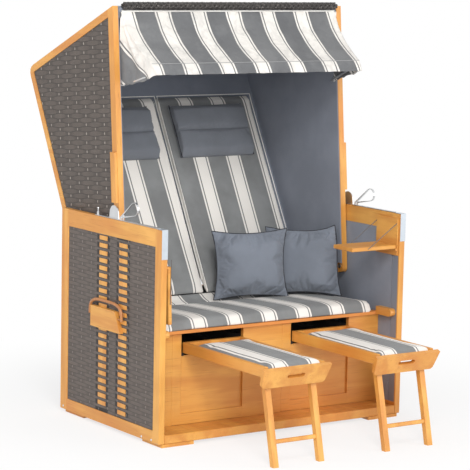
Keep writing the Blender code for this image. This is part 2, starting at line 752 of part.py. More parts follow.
def rear_frame():
    """Timber frame across the back of the box."""
    shape = bmesh.new()
    y0, y1 = REAR_Y - REAR_WALL_THICK, REAR_Y
    inner = SIDE_IN - FIT
    low = SILL_TOP + FIT
    rail = REAR_RAIL_HEIGHT
    for x0, x1 in ((-inner, -inner + rail), (inner - rail, inner)):
        add_block(shape, (x0, y0, low), (x1, y1, REAR_WALL_TOP), EDGE_ROUND)
    for z0, z1 in ((low + JOINT_STEP, low + rail), (REAR_WALL_TOP - rail, REAR_WALL_TOP - JOINT_STEP)):
        add_block(shape, (-inner + rail - TENON, y0 + JOINT_STEP, z0),
                  (inner - rail + TENON, y1 - JOINT_STEP, z1))
    from_bmesh("rear_frame", shape, "wood", fused=True)


def rear_weave():
    """The woven panel in the rear frame."""
    shape = bmesh.new()
    side = SIDE_IN - REAR_RAIL_HEIGHT - 2 * FIT
    low = SILL_TOP + REAR_RAIL_HEIGHT + 2 * FIT
    high = REAR_WALL_TOP - REAR_RAIL_HEIGHT - FIT
    outer = REAR_Y - WEAVE_INSET
    profile = band_profile(low, high, outer, outer - STAKE_THICK - 2 * BAND_THICK)
    add_slab(shape, profile, -side, side)
    from_bmesh("rear_weave", shape, "weave")


def corner_guard(side, word):
    """A bent steel plate over the front post's top corner."""
    shape = bmesh.new()
    y0, z0 = FRONT_Y - FIT, BOX_TOP + FIT
    t = GUARD_THICK
    outline = [(y0 - t, BOX_TOP - GUARD_HEIGHT), (y0, BOX_TOP - GUARD_HEIGHT), (y0, z0),
               (FRONT_Y + GUARD_DEPTH, z0), (FRONT_Y + GUARD_DEPTH, z0 + t), (y0 - t, z0 + t)]
    add_slab(shape, outline, *span(side, SIDE_IN, SIDE_OUT))
    from_bmesh(f"corner_guard_{word}", shape, "steel")


def curve_plate(name, outlines, thickness, place):
    """A flat plate from closed outlines, the first its edge and the rest its holes."""
    curve = bpy.data.curves.new(name, "CURVE")
    curve.dimensions = "2D"
    curve.fill_mode = "BOTH"
    curve.extrude = thickness / 2
    for outline in outlines:
        spline = curve.splines.new("POLY")
        spline.points.add(len(outline) - 1)
        for point, (a, b) in zip(spline.points, outline):
            point.co = (a, b, 0, 1)
        spline.use_cyclic_u = True
    obj = bpy.data.objects.new(name, curve)
    bpy.context.scene.collection.objects.link(obj)
    flat = bpy.data.meshes.new_from_object(
        obj.evaluated_get(bpy.context.evaluated_depsgraph_get()))
    bpy.data.objects.remove(obj, do_unlink=True)
    shape = bmesh.new()
    join_mesh(shape, flat, place)
    return shape


def circle(a, b, radius, sides=8):
    """Points round a circle."""
    return [(a + radius * cos(2 * pi * i / sides), b + radius * sin(2 * pi * i / sides))
            for i in range(sides)]


def lock_plate(side, word):
    """The perforated strip on the top rail, with its bracket, ears and pin socket."""
    half = STRIP_WIDTH / 2
    x = side * HARDWARE_X
    front, rear = FRONT_Y + GUARD_DEPTH + FIT, PIN_Y + 2 * PIN_SOCKET_RADIUS
    edge = [(x - half, front), (x + half, front), (x + half, rear), (x - half, rear)]
    busy = (BRACKET_FRONT_Y - STRIP_WIDTH - half, BRACKET_REAR_Y + half)
    holes = [circle(x, y, STRIP_HOLE_RADIUS) for y in steps(front, rear, STRIP_HOLE_PITCH)[0]
             if not busy[0] < y < busy[1] and y < PIN_Y - STRIP_HOLE_PITCH / 2]
    holes.append(circle(x, PIN_Y, PIN_RADIUS + FIT, 12))
    base = BOX_TOP + FIT
    shape = curve_plate("lock_plate", [edge] + holes, STRIP_THICK,
                        Matrix.Translation((0, 0, base + STRIP_THICK / 2)))
    seat = base + STRIP_THICK / 2
    middle = (BRACKET_FRONT_Y + BRACKET_REAR_Y) / 2
    radius = (BRACKET_REAR_Y - BRACKET_FRONT_Y) / 2 - BRACKET_THICK
    arch = [(middle + radius * cos(pi * i / 8), BRACKET_TOP - radius + radius * sin(pi * i / 8))
            for i in range(9)]
    add_slab(shape, [(BRACKET_REAR_Y, seat), *arch, (BRACKET_FRONT_Y, seat)],
             x - BRACKET_THICK / 2, x + BRACKET_THICK / 2)
    ear_radius = 2 * BOW_STRAP
    ear = [(BOW_REAR_Y + ear_radius * cos(pi * i / 6), BOW_REAR_Z + ear_radius * sin(pi * i / 6))
           for i in range(7)]
    ear = [(BOW_REAR_Y + ear_radius, seat), *ear, (BOW_REAR_Y - ear_radius, seat)]
    ear_in = BOW_WIDTH / 2 + FIT
    ear_out = half - FIT
    for x0, x1 in ((x - ear_out, x - ear_in), (x + ear_in, x + ear_out)):
        add_slab(shape, ear, x0, x1)
    add_rod(shape, (x - ear_out + FIT, BOW_REAR_Y, BOW_REAR_Z), (x + ear_out - FIT, BOW_REAR_Y, BOW_REAR_Z),
            BOW_STRAP, 10)
    socket = add_turned(((PIN_RADIUS + FIT, -STRIP_THICK / 3), (PIN_SOCKET_RADIUS, -STRIP_THICK / 3),
                         (PIN_SOCKET_RADIUS, PIN_SOCKET_HEIGHT),
                         (PIN_RADIUS + FIT, PIN_SOCKET_HEIGHT)), closed=True, turns=12)
    join_mesh(shape, socket, Matrix.Translation((x, PIN_Y, base + STRIP_THICK)))
    from_bmesh(f"lock_plate_{word}", shape, "steel", fused=True)


def lock_pin(side, word):
    """A pin with a round head, which drops through its socket into the rail."""
    length = PIN_TOP - BOX_TOP + PIN_SOCKET_HEIGHT
    head = PIN_HEAD_RADIUS
    ball = [(head * sin(a), length - head + head * cos(a)) for a in (0, pi / 4, pi / 2)]
    pin = add_turned((*ball, (PIN_RADIUS, length - 2 * head + head / 2), (PIN_RADIUS, 0), (0, 0)))
    shape = bmesh.new()
    foot = (side * HARDWARE_X, PIN_Y, PIN_TOP - length)
    join_mesh(shape, pin, Matrix.Translation(foot))
    from_bmesh(f"lock_pin_{word}", shape, "steel", foot)


def hull_of_circles(a, ra, b, rb, arc_steps=8):
    """Outline round two circles, one behind and one in front, joined by tangents."""
    along = atan2(b[1] - a[1], b[0] - a[0])
    open_angle = pi / 2 + (rb - ra) / hypot(b[0] - a[0], b[1] - a[1])
    front = [along - open_angle + 2 * open_angle * i / arc_steps for i in range(arc_steps + 1)]
    back = [along + open_angle + 2 * (pi - open_angle) * i / 4 for i in range(5)]
    return ([(b[0] + rb * cos(t), b[1] + rb * sin(t)) for t in front]
            + [(a[0] + ra * cos(t), a[1] + ra * sin(t)) for t in back])


YZ_PLANE = Matrix(((0, 0, 1, 0), (1, 0, 0, 0), (0, 1, 0, 0), (0, 0, 0, 1)))


def lock_bow(side, word):
    """A closed teardrop of flat steel strap, hinged at its pointed rear end."""
    rear, front = (BOW_REAR_Y, BOW_REAR_Z), (BOW_FRONT_Y, BOW_FRONT_Z)
    eye = 2 * BOW_STRAP + FIT
    start_share = 0.16
    inner_rear = tuple(rear[i] + (front[i] - rear[i]) * start_share for i in (0, 1))
    outlines = [hull_of_circles(rear, eye, front, BOW_RADIUS),
                hull_of_circles(inner_rear, BOW_STRAP, front, BOW_RADIUS - BOW_STRAP),
                circle(*rear, BOW_STRAP + FIT)]
    place = Matrix.Translation((side * HARDWARE_X, 0, 0)) @ YZ_PLANE
    shape = curve_plate("bow", outlines, BOW_WIDTH, place)
    from_bmesh(f"lock_bow_{word}", shape, "steel", (side * HARDWARE_X, *rear))


def carry_block(side, word):
    """A wooden block on the box's side, with a sloping front edge and bored for its bail."""
    inner = SIDE_OUT + FIT - WEAVE_INSET
    outline = [(BLOCK_REAR_Y, BLOCK_LOW), (BLOCK_REAR_Y, BLOCK_TOP),
               (BLOCK_FRONT_TOP_Y, BLOCK_TOP), (BLOCK_FRONT_LOW_Y, BLOCK_LOW)]
    shape = bmesh.new()
    add_slab(shape, outline, *span(side, inner, inner + BLOCK_THICK))
    block = from_bmesh(f"carry_block_{word}", shape, "wood")
    studs = bmesh.new()
    for start, end in ((BLOCK_REAR_Y - OVERRUN, BLOCK_REAR_Y + OVERRUN),
                       (BLOCK_FRONT_TOP_Y + OVERRUN, BAIL_FRONT_Y - OVERRUN)):
        add_rod(studs, (side * BAIL_X, start, BAIL_PIVOT_Z),
                (side * BAIL_X, end, BAIL_PIVOT_Z), BAIL_RADIUS / 2 + FIT)
    punch(block, studs, f"stud_holes_{word}")


def tube(name, points, radius, sides_resolution=2):
    """A closed tube along a line of points, as a mesh."""
    curve = bpy.data.curves.new(name, "CURVE")
    curve.dimensions = "3D"
    curve.bevel_depth = radius
    curve.bevel_resolution = sides_resolution
    curve.use_fill_caps = True
    spline = curve.splines.new("POLY")
    spline.points.add(len(points) - 1)
    for point, place in zip(spline.points, points):
        point.co = (*place, 1)
    obj = bpy.data.objects.new(name, curve)
    bpy.context.scene.collection.objects.link(obj)
    mesh = bpy.data.meshes.new_from_object(
        obj.evaluated_get(bpy.context.evaluated_depsgraph_get()))
    bpy.data.objects.remove(obj, do_unlink=True)
    return mesh


def carry_bail(side, word):
    """An arched handle on two studs in the ends of its block."""
    half = (BAIL_REAR_Y - BAIL_FRONT_Y) / 2
    middle = (BAIL_REAR_Y + BAIL_FRONT_Y) / 2
    power = 0.55
    points = []
    for i in range(13):
        a = pi * i / 12
        y = middle + half * (abs(cos(a)) ** power) * (1 if cos(a) >= 0 else -1)
        z = BAIL_PIVOT_Z - BAIL_RADIUS + (BAIL_RISE + BAIL_RADIUS) * max(sin(a), 0) ** power
        points.append((side * BAIL_X, y, z))
    shape = bmesh.new()
    join_mesh(shape, tube("bail", points, BAIL_RADIUS), Matrix.Identity(4))
    stud_rear = BAIL_REAR_Y
    stud_front = BAIL_FRONT_Y
    add_rod(shape, (side * BAIL_X, BLOCK_REAR_Y - OVERRUN + FIT, BAIL_PIVOT_Z),
            (side * BAIL_X, stud_rear, BAIL_PIVOT_Z), BAIL_RADIUS / 2, 8)
    add_rod(shape, (side * BAIL_X, BLOCK_FRONT_TOP_Y + OVERRUN - FIT, BAIL_PIVOT_Z),
            (side * BAIL_X, stud_front, BAIL_PIVOT_Z), BAIL_RADIUS / 2, 8)
    from_bmesh(f"carry_bail_{word}", shape, "wood", (side * BAIL_X, middle, BAIL_PIVOT_Z), fused=True)


def table_backing(side, word):
    """A board on the inner wall, with the two lugs and the pin that a side table hangs on."""
    shape = bmesh.new()
    face = SIDE_IN - FIT - BACKING_THICK
    side_block(shape, side, face, SIDE_IN - FIT, (BACKING_FRONT_Y, BACKING_LOW),
               (BACKING_REAR_Y, BACKING_TOP), EDGE_ROUND / 2)
    x, z = table_hinge()
    reach = x - 2 * TABLE_PIN_RADIUS + JOINT_STEP
    for y0, y1 in ((BACKING_FRONT_Y + JOINT_STEP, TABLE_FRONT_Y - STAY_RADIUS),
                   (TABLE_REAR_Y + STAY_RADIUS, BACKING_REAR_Y - JOINT_STEP)):
        side_block(shape, side, reach, face + EDGE_ROUND, (y0, z - 2 * TABLE_PIN_RADIUS),
                   (y1, z + 2 * TABLE_PIN_RADIUS))
    add_rod(shape, (side * x, BACKING_FRONT_Y + 2 * JOINT_STEP, z),
            (side * x, BACKING_REAR_Y - 2 * JOINT_STEP, z), TABLE_PIN_RADIUS, 10)
    from_bmesh(f"table_backing_{word}", shape, "wood", fused=True)


def table_hinge():
    """Distance from the middle and height of a side table's hinge."""
    return (SIDE_IN - FIT - BACKING_THICK - TABLE_PIN_INSET,
            TABLE_TOP - TABLE_THICK - TABLE_PIN_DROP)


def fold_matrix(side, angle, x, z):
    """Turn about a line along Y at one X and Z, downwards for a table of this side."""
    about = Matrix.Translation((x, 0, z))
    return about @ Matrix.Rotation(-side * radians(angle), 4, "Y") @ about.inverted()


def table_and_stays(side, word, folded):
    """A side table and its stays, raised, or hanging against the wall."""
    hinge_x, hinge_z = table_hinge()
    fold = fold_matrix(side, folded, side * hinge_x, hinge_z)
    board = bmesh.new()
    x0, x1 = span(side, hinge_x - TABLE_LENGTH, hinge_x + TABLE_PIN_INSET - FIT)
    add_block(board, (x0, TABLE_FRONT_Y, TABLE_TOP - TABLE_THICK), (x1, TABLE_REAR_Y, TABLE_TOP),
              EDGE_ROUND)
    bmesh.ops.transform(board, matrix=fold, verts=board.verts)
    middle_y = (TABLE_FRONT_Y + TABLE_REAR_Y) / 2
    table = from_bmesh(f"side_table_{word}", board, "wood", (side * hinge_x, middle_y, hinge_z))
    foot = (hinge_x - STAY_REACH, TABLE_TOP - TABLE_THICK / 2)
    bore = bmesh.new()
    add_rod(bore, (side * foot[0], TABLE_FRONT_Y - OVERRUN, foot[1]),
            (side * foot[0], TABLE_REAR_Y + OVERRUN, foot[1]), STAY_RADIUS + FIT, 8)
    bmesh.ops.transform(bore, matrix=fold, verts=bore.verts)
    punch(table, bore, f"stay_bore_{word}")
    turn = fold @ fold_matrix(side, -STAY_RATIO * folded, side * foot[0], foot[1])
    top_x = side * (SIDE_IN - FIT - BACKING_THICK - STAY_RADIUS - FIT)
    front_y, rear_y = TABLE_FRONT_Y - STAY_RADIUS - FIT, TABLE_REAR_Y + STAY_RADIUS + FIT
    route = [(top_x, front_y, STAY_TOP_Z), (side * foot[0], front_y, foot[1]),
             (side * foot[0], rear_y, foot[1]), (top_x, rear_y, STAY_TOP_Z)]
    rods = bmesh.new()
    join_mesh(rods, tube("stays", route, STAY_RADIUS, 1), turn)
    foot_now = fold @ Vector((side * foot[0], middle_y, foot[1]))
    from_bmesh(f"table_stays_{word}", rods, "steel", tuple(foot_now))


def hood_front(z):
    """Y of the hood's front plane at one height."""
    return HOOD_FRONT_Y + (z - PIVOT_Z) * tan(radians(HOOD_LEAN))


def hood_outline(round_foot=True):
    """Outline of a hood side in (Y, Z): foot, low rear corner, rear top, front top."""
    half = HOOD_POST / 2
    centre = (hood_front(HOOD_FOOT_Z + half) + half, HOOD_FOOT_Z + half)
    foot = [(centre[0] - half * cos(pi * i / 8), centre[1] - half * sin(pi * i / 8))
            for i in range(5)]
    rear_top = (HOOD_REAR_Y, HOOD_REAR_Z)
    roof_angle = atan2(HOOD_TOP_Z - HOOD_REAR_Z, hood_front(HOOD_TOP_Z) - HOOD_REAR_Y)
    low_angle = atan2(HOOD_LOW_Z - HOOD_REAR_Z, HOOD_LOW_Y - HOOD_REAR_Y)
    start = Vector((cos(low_angle), sin(low_angle))) * HOOD_CORNER
    end = Vector((cos(roof_angle), sin(roof_angle))) * HOOD_CORNER
    corner = []
    for share in (0, 0.25, 0.5, 0.75, 1):
        point = Vector(rear_top) + start * (1 - share) ** 2 + end * share ** 2
        corner.append(tuple(point))
    low_rear = [(HOOD_LOW_Y - HOOD_BAR, HOOD_LOW_Z), (HOOD_LOW_Y, HOOD_LOW_Z)]
    return foot + low_rear + corner + [(hood_front(HOOD_TOP_Z), HOOD_TOP_Z)]


def hood_corners():
    """The plain corners of the hood's side, without the foot and the rounded corner."""
    return [(hood_front(HOOD_FOOT_Z), HOOD_FOOT_Z), (HOOD_LOW_Y, HOOD_LOW_Z),
            (HOOD_REAR_Y, HOOD_REAR_Z), (hood_front(HOOD_TOP_Z), HOOD_TOP_Z)]


def inset(corners, widths):
    """Move each edge of a convex outline inwards by its own width."""
    count = len(corners)
    lines = []
    for i in range(count):
        a, b = Vector(corners[i]), Vector(corners[(i + 1) % count])
        along = (b - a).normalized()
        lines.append((a + Vector((-along.y, along.x)) * widths[i], along))
    moved = []
    for i in range(count):
        (a, u), (b, v) = lines[i - 1], lines[i]
        t = ((b - a).x * v.y - (b - a).y * v.x) / (u.x * v.y - u.y * v.x)
        moved.append(tuple(a + u * t))
    return moved


def hood_opening(extra=0.0):
    """The opening inside a hood side's bars: bottom, rear, roof and front edges."""
    return inset(hood_corners(), [HOOD_BAR + extra, HOOD_BAR + extra, HOOD_BAR + extra,
                                  HOOD_POST + extra])


def clip(outline, axis, value, keep_above):
    """The part of a convex outline on one side of a line across one axis."""
    kept = []
    for i, b in enumerate(outline):
        a = outline[i - 1]
        a_in = (a[axis] >= value) == keep_above
        b_in = (b[axis] >= value) == keep_above
        if a_in != b_in:
            share = (value - a[axis]) / (b[axis] - a[axis])
            kept.append(tuple(a[k] + (b[k] - a[k]) * share for k in (0, 1)))
        if b_in:
            kept.append(b)
    return kept


def strip_of(outline, axis, low, high):
    """The stretch of a convex outline between two values of one axis."""
    part = clip(clip(outline, axis, low, True), axis, high, False)
    clean = []
    for point in part:
        if not clean or hypot(point[0] - clean[-1][0], point[1] - clean[-1][1]) > FIT:
            clean.append(point)
    if len(clean) > 2 and hypot(clean[0][0] - clean[-1][0], clean[0][1] - clean[-1][1]) <= FIT:
        clean.pop()
    return clean if len(clean) > 2 else None


def hood_side(side, word):
    """One side of the hood's frame, with a hole for its bolt."""
    x_middle = side * (HOOD_OUT - HOOD_BAR_X / 2)
    place = Matrix.Translation((x_middle, 0, 0)) @ YZ_PLANE
    shape = curve_plate("hood_side", [hood_outline(), hood_opening()], HOOD_BAR_X, place)
    doubler = [(hood_front(DOUBLER_LOW) + EDGE_ROUND, DOUBLER_LOW),
               (hood_front(DOUBLER_LOW) + DOUBLER_WIDTH, DOUBLER_LOW),
               (hood_front(DOUBLER_TOP) + DOUBLER_WIDTH, DOUBLER_TOP),
               (hood_front(DOUBLER_TOP) + EDGE_ROUND, DOUBLER_TOP)]
    add_slab(shape, doubler, *span(side, HOOD_OUT - JOINT_STEP, HOOD_OUT + DOUBLER_THICK))
    frame = from_bmesh(f"hood_side_{word}", shape, "wood", (x_middle, PIVOT_Y, PIVOT_Z), fused=True)
    hole = bmesh.new()
    bolt_hole(hole, side, BOLT_RADIUS + RUNNING_FIT)
    punch(frame, hole, f"hood_hole_{word}")


def hood_weave(side, word):
    """The woven panel that fills one side of the hood, cut to its outline."""
    outer = HOOD_OUT - WEAVE_INSET
    inner = outer - STAKE_THICK - 2 * BAND_THICK
    skins = (outer, inner) if side > 0 else (-inner, -outer)
    opening = hood_opening(FIT)
    ys = [p[0] for p in opening]
    zs = [p[1] for p in opening]
    shape = bmesh.new()
    add_slab(shape, band_profile(min(zs) - BAND_PITCH, max(zs) + BAND_PITCH, *skins),
             min(ys) - OVERRUN, max(ys) + OVERRUN, axis=1)
    panel = from_bmesh(f"hood_weave_{word}", shape, "weave", (side * outer, PIVOT_Y, PIVOT_Z))
    edge = bmesh.new()
    add_slab(edge, opening, *span(side, inner - OVERRUN, outer + OVERRUN))
    punch(panel, edge, f"hood_opening_{word}").operation = "INTERSECT"


def lining_outline():
    """Outline of a hood side's lining, which stops above the bolt."""
    behind = ROOF_THICK + 2 * FIT
    plain = inset(hood_corners(), [HOOD_LINING, behind, behind, EDGE_ROUND])
    return clip(plain, 1, PIVOT_Z + BOLT_HEAD_RADIUS + HOOD_LINING, True)


def hood_lining(side, word):
    """The fabric-covered board on the inner side of the hood."""
    shape = bmesh.new()
    inner = HOOD_OUT - HOOD_BAR_X - FIT
    add_slab(shape, lining_outline(), *span(side, inner - HOOD_LINING, inner))
    from_bmesh(f"hood_lining_{word}", shape, "slate_fabric", (side * inner, PIVOT_Y, PIVOT_Z))


def band_along(low, high, offset, thick):
    """Outline of a board that lies inside one edge of the hood, offset inwards."""
    a, b = Vector(low), Vector(high)
    along = (b - a).normalized()
    inward = Vector((-along.y, along.x))
    return [tuple(a + inward * offset), tuple(b + inward * offset),
            tuple(b + inward * (offset + thick)), tuple(a + inward * (offset + thick))]


def hood_roof():
    """The roof board with a rail under its front edge and one under its rear edge."""
    rear_top, front_top = [Vector(c) for c in hood_corners()[2:]]
    along = (front_top - rear_top).normalized()
    half = HOOD_OUT - HOOD_BAR_X - FIT
    inner = half - HOOD_LINING - FIT
    start, end = rear_top + along * HOOD_CORNER, front_top - along * ROOF_SETBACK
    shape = bmesh.new()
    add_slab(shape, band_along(start, end, 0, ROOF_THICK), -half, half)
    add_slab(shape, band_along(start + along * EDGE_ROUND, start + along * CROSS_RAIL,
                               ROOF_THICK - JOINT_STEP, CROSS_RAIL), -inner, inner)

    def under(y):
        slope = along.y / along.x
        return HOOD_TOP_Z + (y - front_top.x) * slope + ROOF_THICK / along.x + JOINT_STEP

    low_z = HOOD_TOP_Z - 2 * CROSS_RAIL
    front_y = hood_front(HOOD_TOP_Z - ROOF_THICK)
    rear_y = hood_front(low_z) + CROSS_RAIL
    rail = [(hood_front(low_z), low_z), (rear_y, low_z), (rear_y, under(rear_y)),
            (front_y, under(front_y))]
    add_slab(shape, rail, -inner, inner)
    from_bmesh("hood_roof", shape, "weave", (0, PIVOT_Y, PIVOT_Z), fused=True)


def hood_back():
    """The back board, with a rail along its low edge."""
    low_rear, rear_top = [Vector(c) for c in hood_corners()[1:3]]
    along = (rear_top - low_rear).normalized()
    half = HOOD_OUT - HOOD_BAR_X - FIT
    inner = half - HOOD_LINING - FIT
    start, end = low_rear + along * EDGE_ROUND, rear_top - along * HOOD_CORNER
    shape = bmesh.new()
    add_slab(shape, band_along(start, end, 0, ROOF_THICK), -half, half)
    add_slab(shape, band_along(start + along * JOINT_STEP, start + along * CROSS_RAIL,
                               ROOF_THICK - JOINT_STEP, BACK_WALL - ROOF_THICK + JOINT_STEP),
             -inner, inner)
    from_bmesh("hood_back", shape, "weave", (0, PIVOT_Y, PIVOT_Z), fused=True)


def braid_roll():
    """The braided roll along the front edge of the roof."""
    shape = bmesh.new()
    y = hood_front(HOOD_TOP_Z) - ROLL_RADIUS - FIT
    add_rod(shape, (-ROLL_HALF, y, HOOD_TOP_Z), (ROLL_HALF, y, HOOD_TOP_Z), ROLL_RADIUS, 16)
    from_bmesh("braid_roll", shape, "weave", (0, PIVOT_Y, PIVOT_Z))


def back_front_y(z):
    """Y of the back cushions' front plane at one height."""
    return BACK_FRONT_Y + (z - BACK_FRONT_Z) * tan(radians(BACK_LEAN))


def back_cushion(side, word):
    """Half of the back cushion, in front of the back board."""
    low_rear, rear_top = Vector(hood_corners()[1]), Vector(hood_corners()[2])
    along = (rear_top - low_rear).normalized()
    inward = Vector((-along.y, along.x))
    on_board = low_rear + inward * (BACK_WALL + FIT)

    def rear_point(z):
        return on_board.x + (z - on_board.y) * along.x / along.y, z

    low_z = HOOD_LOW_Z - EDGE_ROUND
    nose_z = BACK_FRONT_Z + SOFT_ROUND
    outline = [(back_front_y(nose_z), nose_z),
               (back_front_y(BACK_FRONT_Z) + SOFT_ROUND, BACK_FRONT_Z + SOFT_ROUND / 4),
               rear_point(low_z), rear_point(BACK_TOP_Z - SOFT_ROUND),
               (back_front_y(BACK_TOP_Z) + SOFT_ROUND, BACK_TOP_Z),
               (back_front_y(BACK_TOP_Z - SOFT_ROUND), BACK_TOP_Z - SOFT_ROUND)]
    shape = bmesh.new()
    add_slab(shape, outline, *span(side, FIT, BACK_HALF))
    from_bmesh(f"back_cushion_{word}", shape, "striped_fabric", (0, PIVOT_Y, PIVOT_Z))


def neck_pillow(side, word):
    """A slate pillow over the upper part of one back cushion."""
    thick, edge = NECK_THICK, SOFT_ROUND
    lean = radians(BACK_LEAN)
    across, up = Vector((-cos(lean), sin(lean))), Vector((sin(lean), cos(lean)))
    low = Vector((back_front_y(NECK_LOW_Z), NECK_LOW_Z)) + across * FIT
    long = (NECK_TOP_Z - NECK_LOW_Z) / cos(lean)
    shares = ((0, 0), (0, 0.45), (0.12, 1), (0.88, 1), (1, 0.45), (1, 0))
    outline = [tuple(low + up * long * u + across * thick * v) for u, v in shares]
    shape = bmesh.new()
    add_slab(shape, outline, *span(side, NECK_IN, NECK_OUT))
    from_bmesh(f"neck_pillow_{word}", shape, "slate_fabric", (0, PIVOT_Y, PIVOT_Z))


def sheet_solid(rows, thick):
    """A closed solid from rows of points, given its thickness by Solidify's rule."""
    mesh = bpy.data.meshes.new("sheet")
    count = len(rows[0])
    points = [p for row in rows for p in row]
    faces = []
    for r in range(len(rows) - 1):
        for c in range(count - 1):
            a = r * count + c
            faces.append((a, a + 1, a + count + 1, a + count))
    mesh.from_pydata(points, [], faces)
    obj = bpy.data.objects.new("sheet", mesh)
    bpy.context.scene.collection.objects.link(obj)
    shell = obj.modifiers.new("thickness", "SOLIDIFY")
    shell.thickness = thick
    shell.offset = 0
    made = bpy.data.meshes.new_from_object(obj.evaluated_get(bpy.context.evaluated_depsgraph_get()))
    bpy.data.objects.remove(obj, do_unlink=True)
    return made


def awning_point(share):
    """A place (Y, Z) on the awning's slope, from its top edge to its front hem."""
    top_z = HOOD_TOP_Z - ROLL_RADIUS - 3 * AWNING_THICK
    top_y = hood_front(top_z) - AWNING_THICK / 2 - FIT
    return (top_y + (AWNING_FRONT_Y - top_y) * share,
            top_z + (AWNING_FRONT_Z - top_z) * share - AWNING_SAG * sin(pi * share))


def awning_fabric():
    """The awning, from under the braid to its front hem, with a cheek at each end."""
    top_z = awning_point(0)[1]
    slope_rows, columns = 5, 8
    rows = []
    for r in range(slope_rows + 1):
        share = r / slope_rows
        y, z = awning_point(share)
        half = AWNING_HALF_TOP + (AWNING_HALF_FRONT - AWNING_HALF_TOP) * share
        cheek_z = top_z + (AWNING_BACK_Z - top_z) * share
        row = [(-AWNING_HALF_TOP, AWNING_CHEEK_Y, cheek_z)]
        row += [(-half + 2 * half * c / columns, y, z) for c in range(columns + 1)]
        row += [(AWNING_HALF_TOP, AWNING_CHEEK_Y, cheek_z)]
        rows.append(row)
    shape = bmesh.new()
    join_mesh(shape, sheet_solid(rows, AWNING_THICK), Matrix.Identity(4))
    from_bmesh("awning_fabric", shape, "striped_fabric", (0, STEEL_BOW_Y, STEEL_BOW_Z))


def awning_bow():
    """The steel bow that holds the awning out, pivoted in the hood's sides."""
    end_x = HOOD_OUT - HOOD_BAR_X - HOOD_LINING - STEEL_BOW_RADIUS / 2
    arm_x = AWNING_HALF_TOP - 4 * STEEL_BOW_RADIUS
    bar_x = AWNING_HALF_FRONT - 2 * STEEL_BOW_RADIUS
    knee_y = STEEL_BOW_Y - 2 * STEEL_BOW_RADIUS
    under = (STEEL_BOW_RADIUS + AWNING_THICK / 2 + STEEL_BOW_GAP) / cos(pi / 4)
    bar_y, bar_z = awning_point(STEEL_BOW_SHARE)
    bar_z -= under
    right = [(end_x, STEEL_BOW_Y, STEEL_BOW_Z), (arm_x, knee_y, STEEL_BOW_Z),
             (bar_x, bar_y + 2 * STEEL_BOW_RADIUS, bar_z),
             (bar_x - 2 * STEEL_BOW_RADIUS, bar_y, bar_z)]
    left = [(-x, y, z) for x, y, z in reversed(right)]
    shape = bmesh.new()
    join_mesh(shape, tube("bow", right + left, STEEL_BOW_RADIUS), Matrix.Identity(4))
    from_bmesh("awning_bow", shape, "steel", (0, STEEL_BOW_Y, STEEL_BOW_Z))


def footrest_tray(side, word):
    """Side rails, rear board, slats and the leaning front board with its slot."""
    middle = side * DRAWER_CENTRE
    inner = TRAY_HALF - TRAY_RAIL
    shape = bmesh.new()
    front = TRAY_FRONT_Y
    for way in (-1, 1):
        x0, x1 = sorted((middle + way * inner, middle + way * TRAY_HALF))
        add_block(shape, (x0, front, TRAY_LOW), (x1, TRAY_REAR_Y, TRAY_TOP), EDGE_ROUND)
    slat_top = PAD_TOP - PAD_THICK - FIT
    slat_low = slat_top - TRAY_SLAT_THICK
    reach = inner + TENON / 2
    add_block(shape, (middle - reach, TRAY_REAR_Y - TRAY_RAIL, slat_low - JOINT_STEP),
              (middle + reach, TRAY_REAR_Y - JOINT_STEP, TRAY_TOP - JOINT_STEP))
    places, gap = steps(front + FIT, TRAY_REAR_Y - TRAY_RAIL, SLAT_WIDTH)
    for y in places:
        add_block(shape, (middle - reach, y - gap / 2 + SLAT_GAP, slat_low),
                  (middle + reach, y + gap / 2 - SLAT_GAP, slat_top))
    board = footrest_front(middle)
    mesh = bpy.data.meshes.new("front_board")
    board.to_mesh(mesh)
    board.free()
    shape.from_mesh(mesh)
    from_bmesh(f"footrest_tray_{word}", shape, "wood", (middle, TRAY_REAR_Y, TRAY_TOP), fused=True)


def footrest_front(middle):
    """The leaning front board, wider at the top, with a slot for the hand."""
    height = (FRONT_BOARD_TOP - FRONT_BOARD_LOW) / cos(radians(FRONT_BOARD_LEAN))
    radius = SLOT_HEIGHT / 2
    corner = radius
    edge = [(-FRONT_BOARD_TOP_HALF, height), (-FRONT_BOARD_LOW_HALF, corner),
            (-FRONT_BOARD_LOW_HALF + corner, 0), (FRONT_BOARD_LOW_HALF - corner, 0),
            (FRONT_BOARD_LOW_HALF, corner), (FRONT_BOARD_TOP_HALF, height)]
    reach = SLOT_LENGTH / 2 - radius
    slot_z = height * 0.58
    slot = [(reach + radius * cos(a), slot_z + radius * sin(a))
            for a in [-pi / 2 + pi * i / 5 for i in range(6)]]
    slot += [(-x, 2 * slot_z - z) for x, z in slot]
    stand = Matrix.Rotation(pi / 2, 4, "X")
    lean = Matrix.Rotation(radians(FRONT_BOARD_LEAN), 4, "X")
    reach_y = FRONT_BOARD_THICK / 2 / cos(radians(FRONT_BOARD_LEAN))
    low_y = FRONT_BOARD_Y + reach_y
    foot = Matrix.Translation((middle, low_y, FRONT_BOARD_LOW))
    return curve_plate("front", [edge, slot], FRONT_BOARD_THICK, foot @ lean @ stand)


def footrest_pad(side, word):
    """The thin pad on the tray's slats."""
    middle = side * DRAWER_CENTRE
    inner = TRAY_HALF - TRAY_RAIL - FIT
    low = PAD_TOP - PAD_THICK
    shape = bmesh.new()
    add_block(shape, (middle - inner, PAD_FRONT_Y, low), (middle + inner, PAD_REAR_Y, PAD_TOP),
              EDGE_ROUND)
    from_bmesh(f"footrest_pad_{word}", shape, "striped_fabric", (middle, TRAY_REAR_Y, TRAY_TOP))


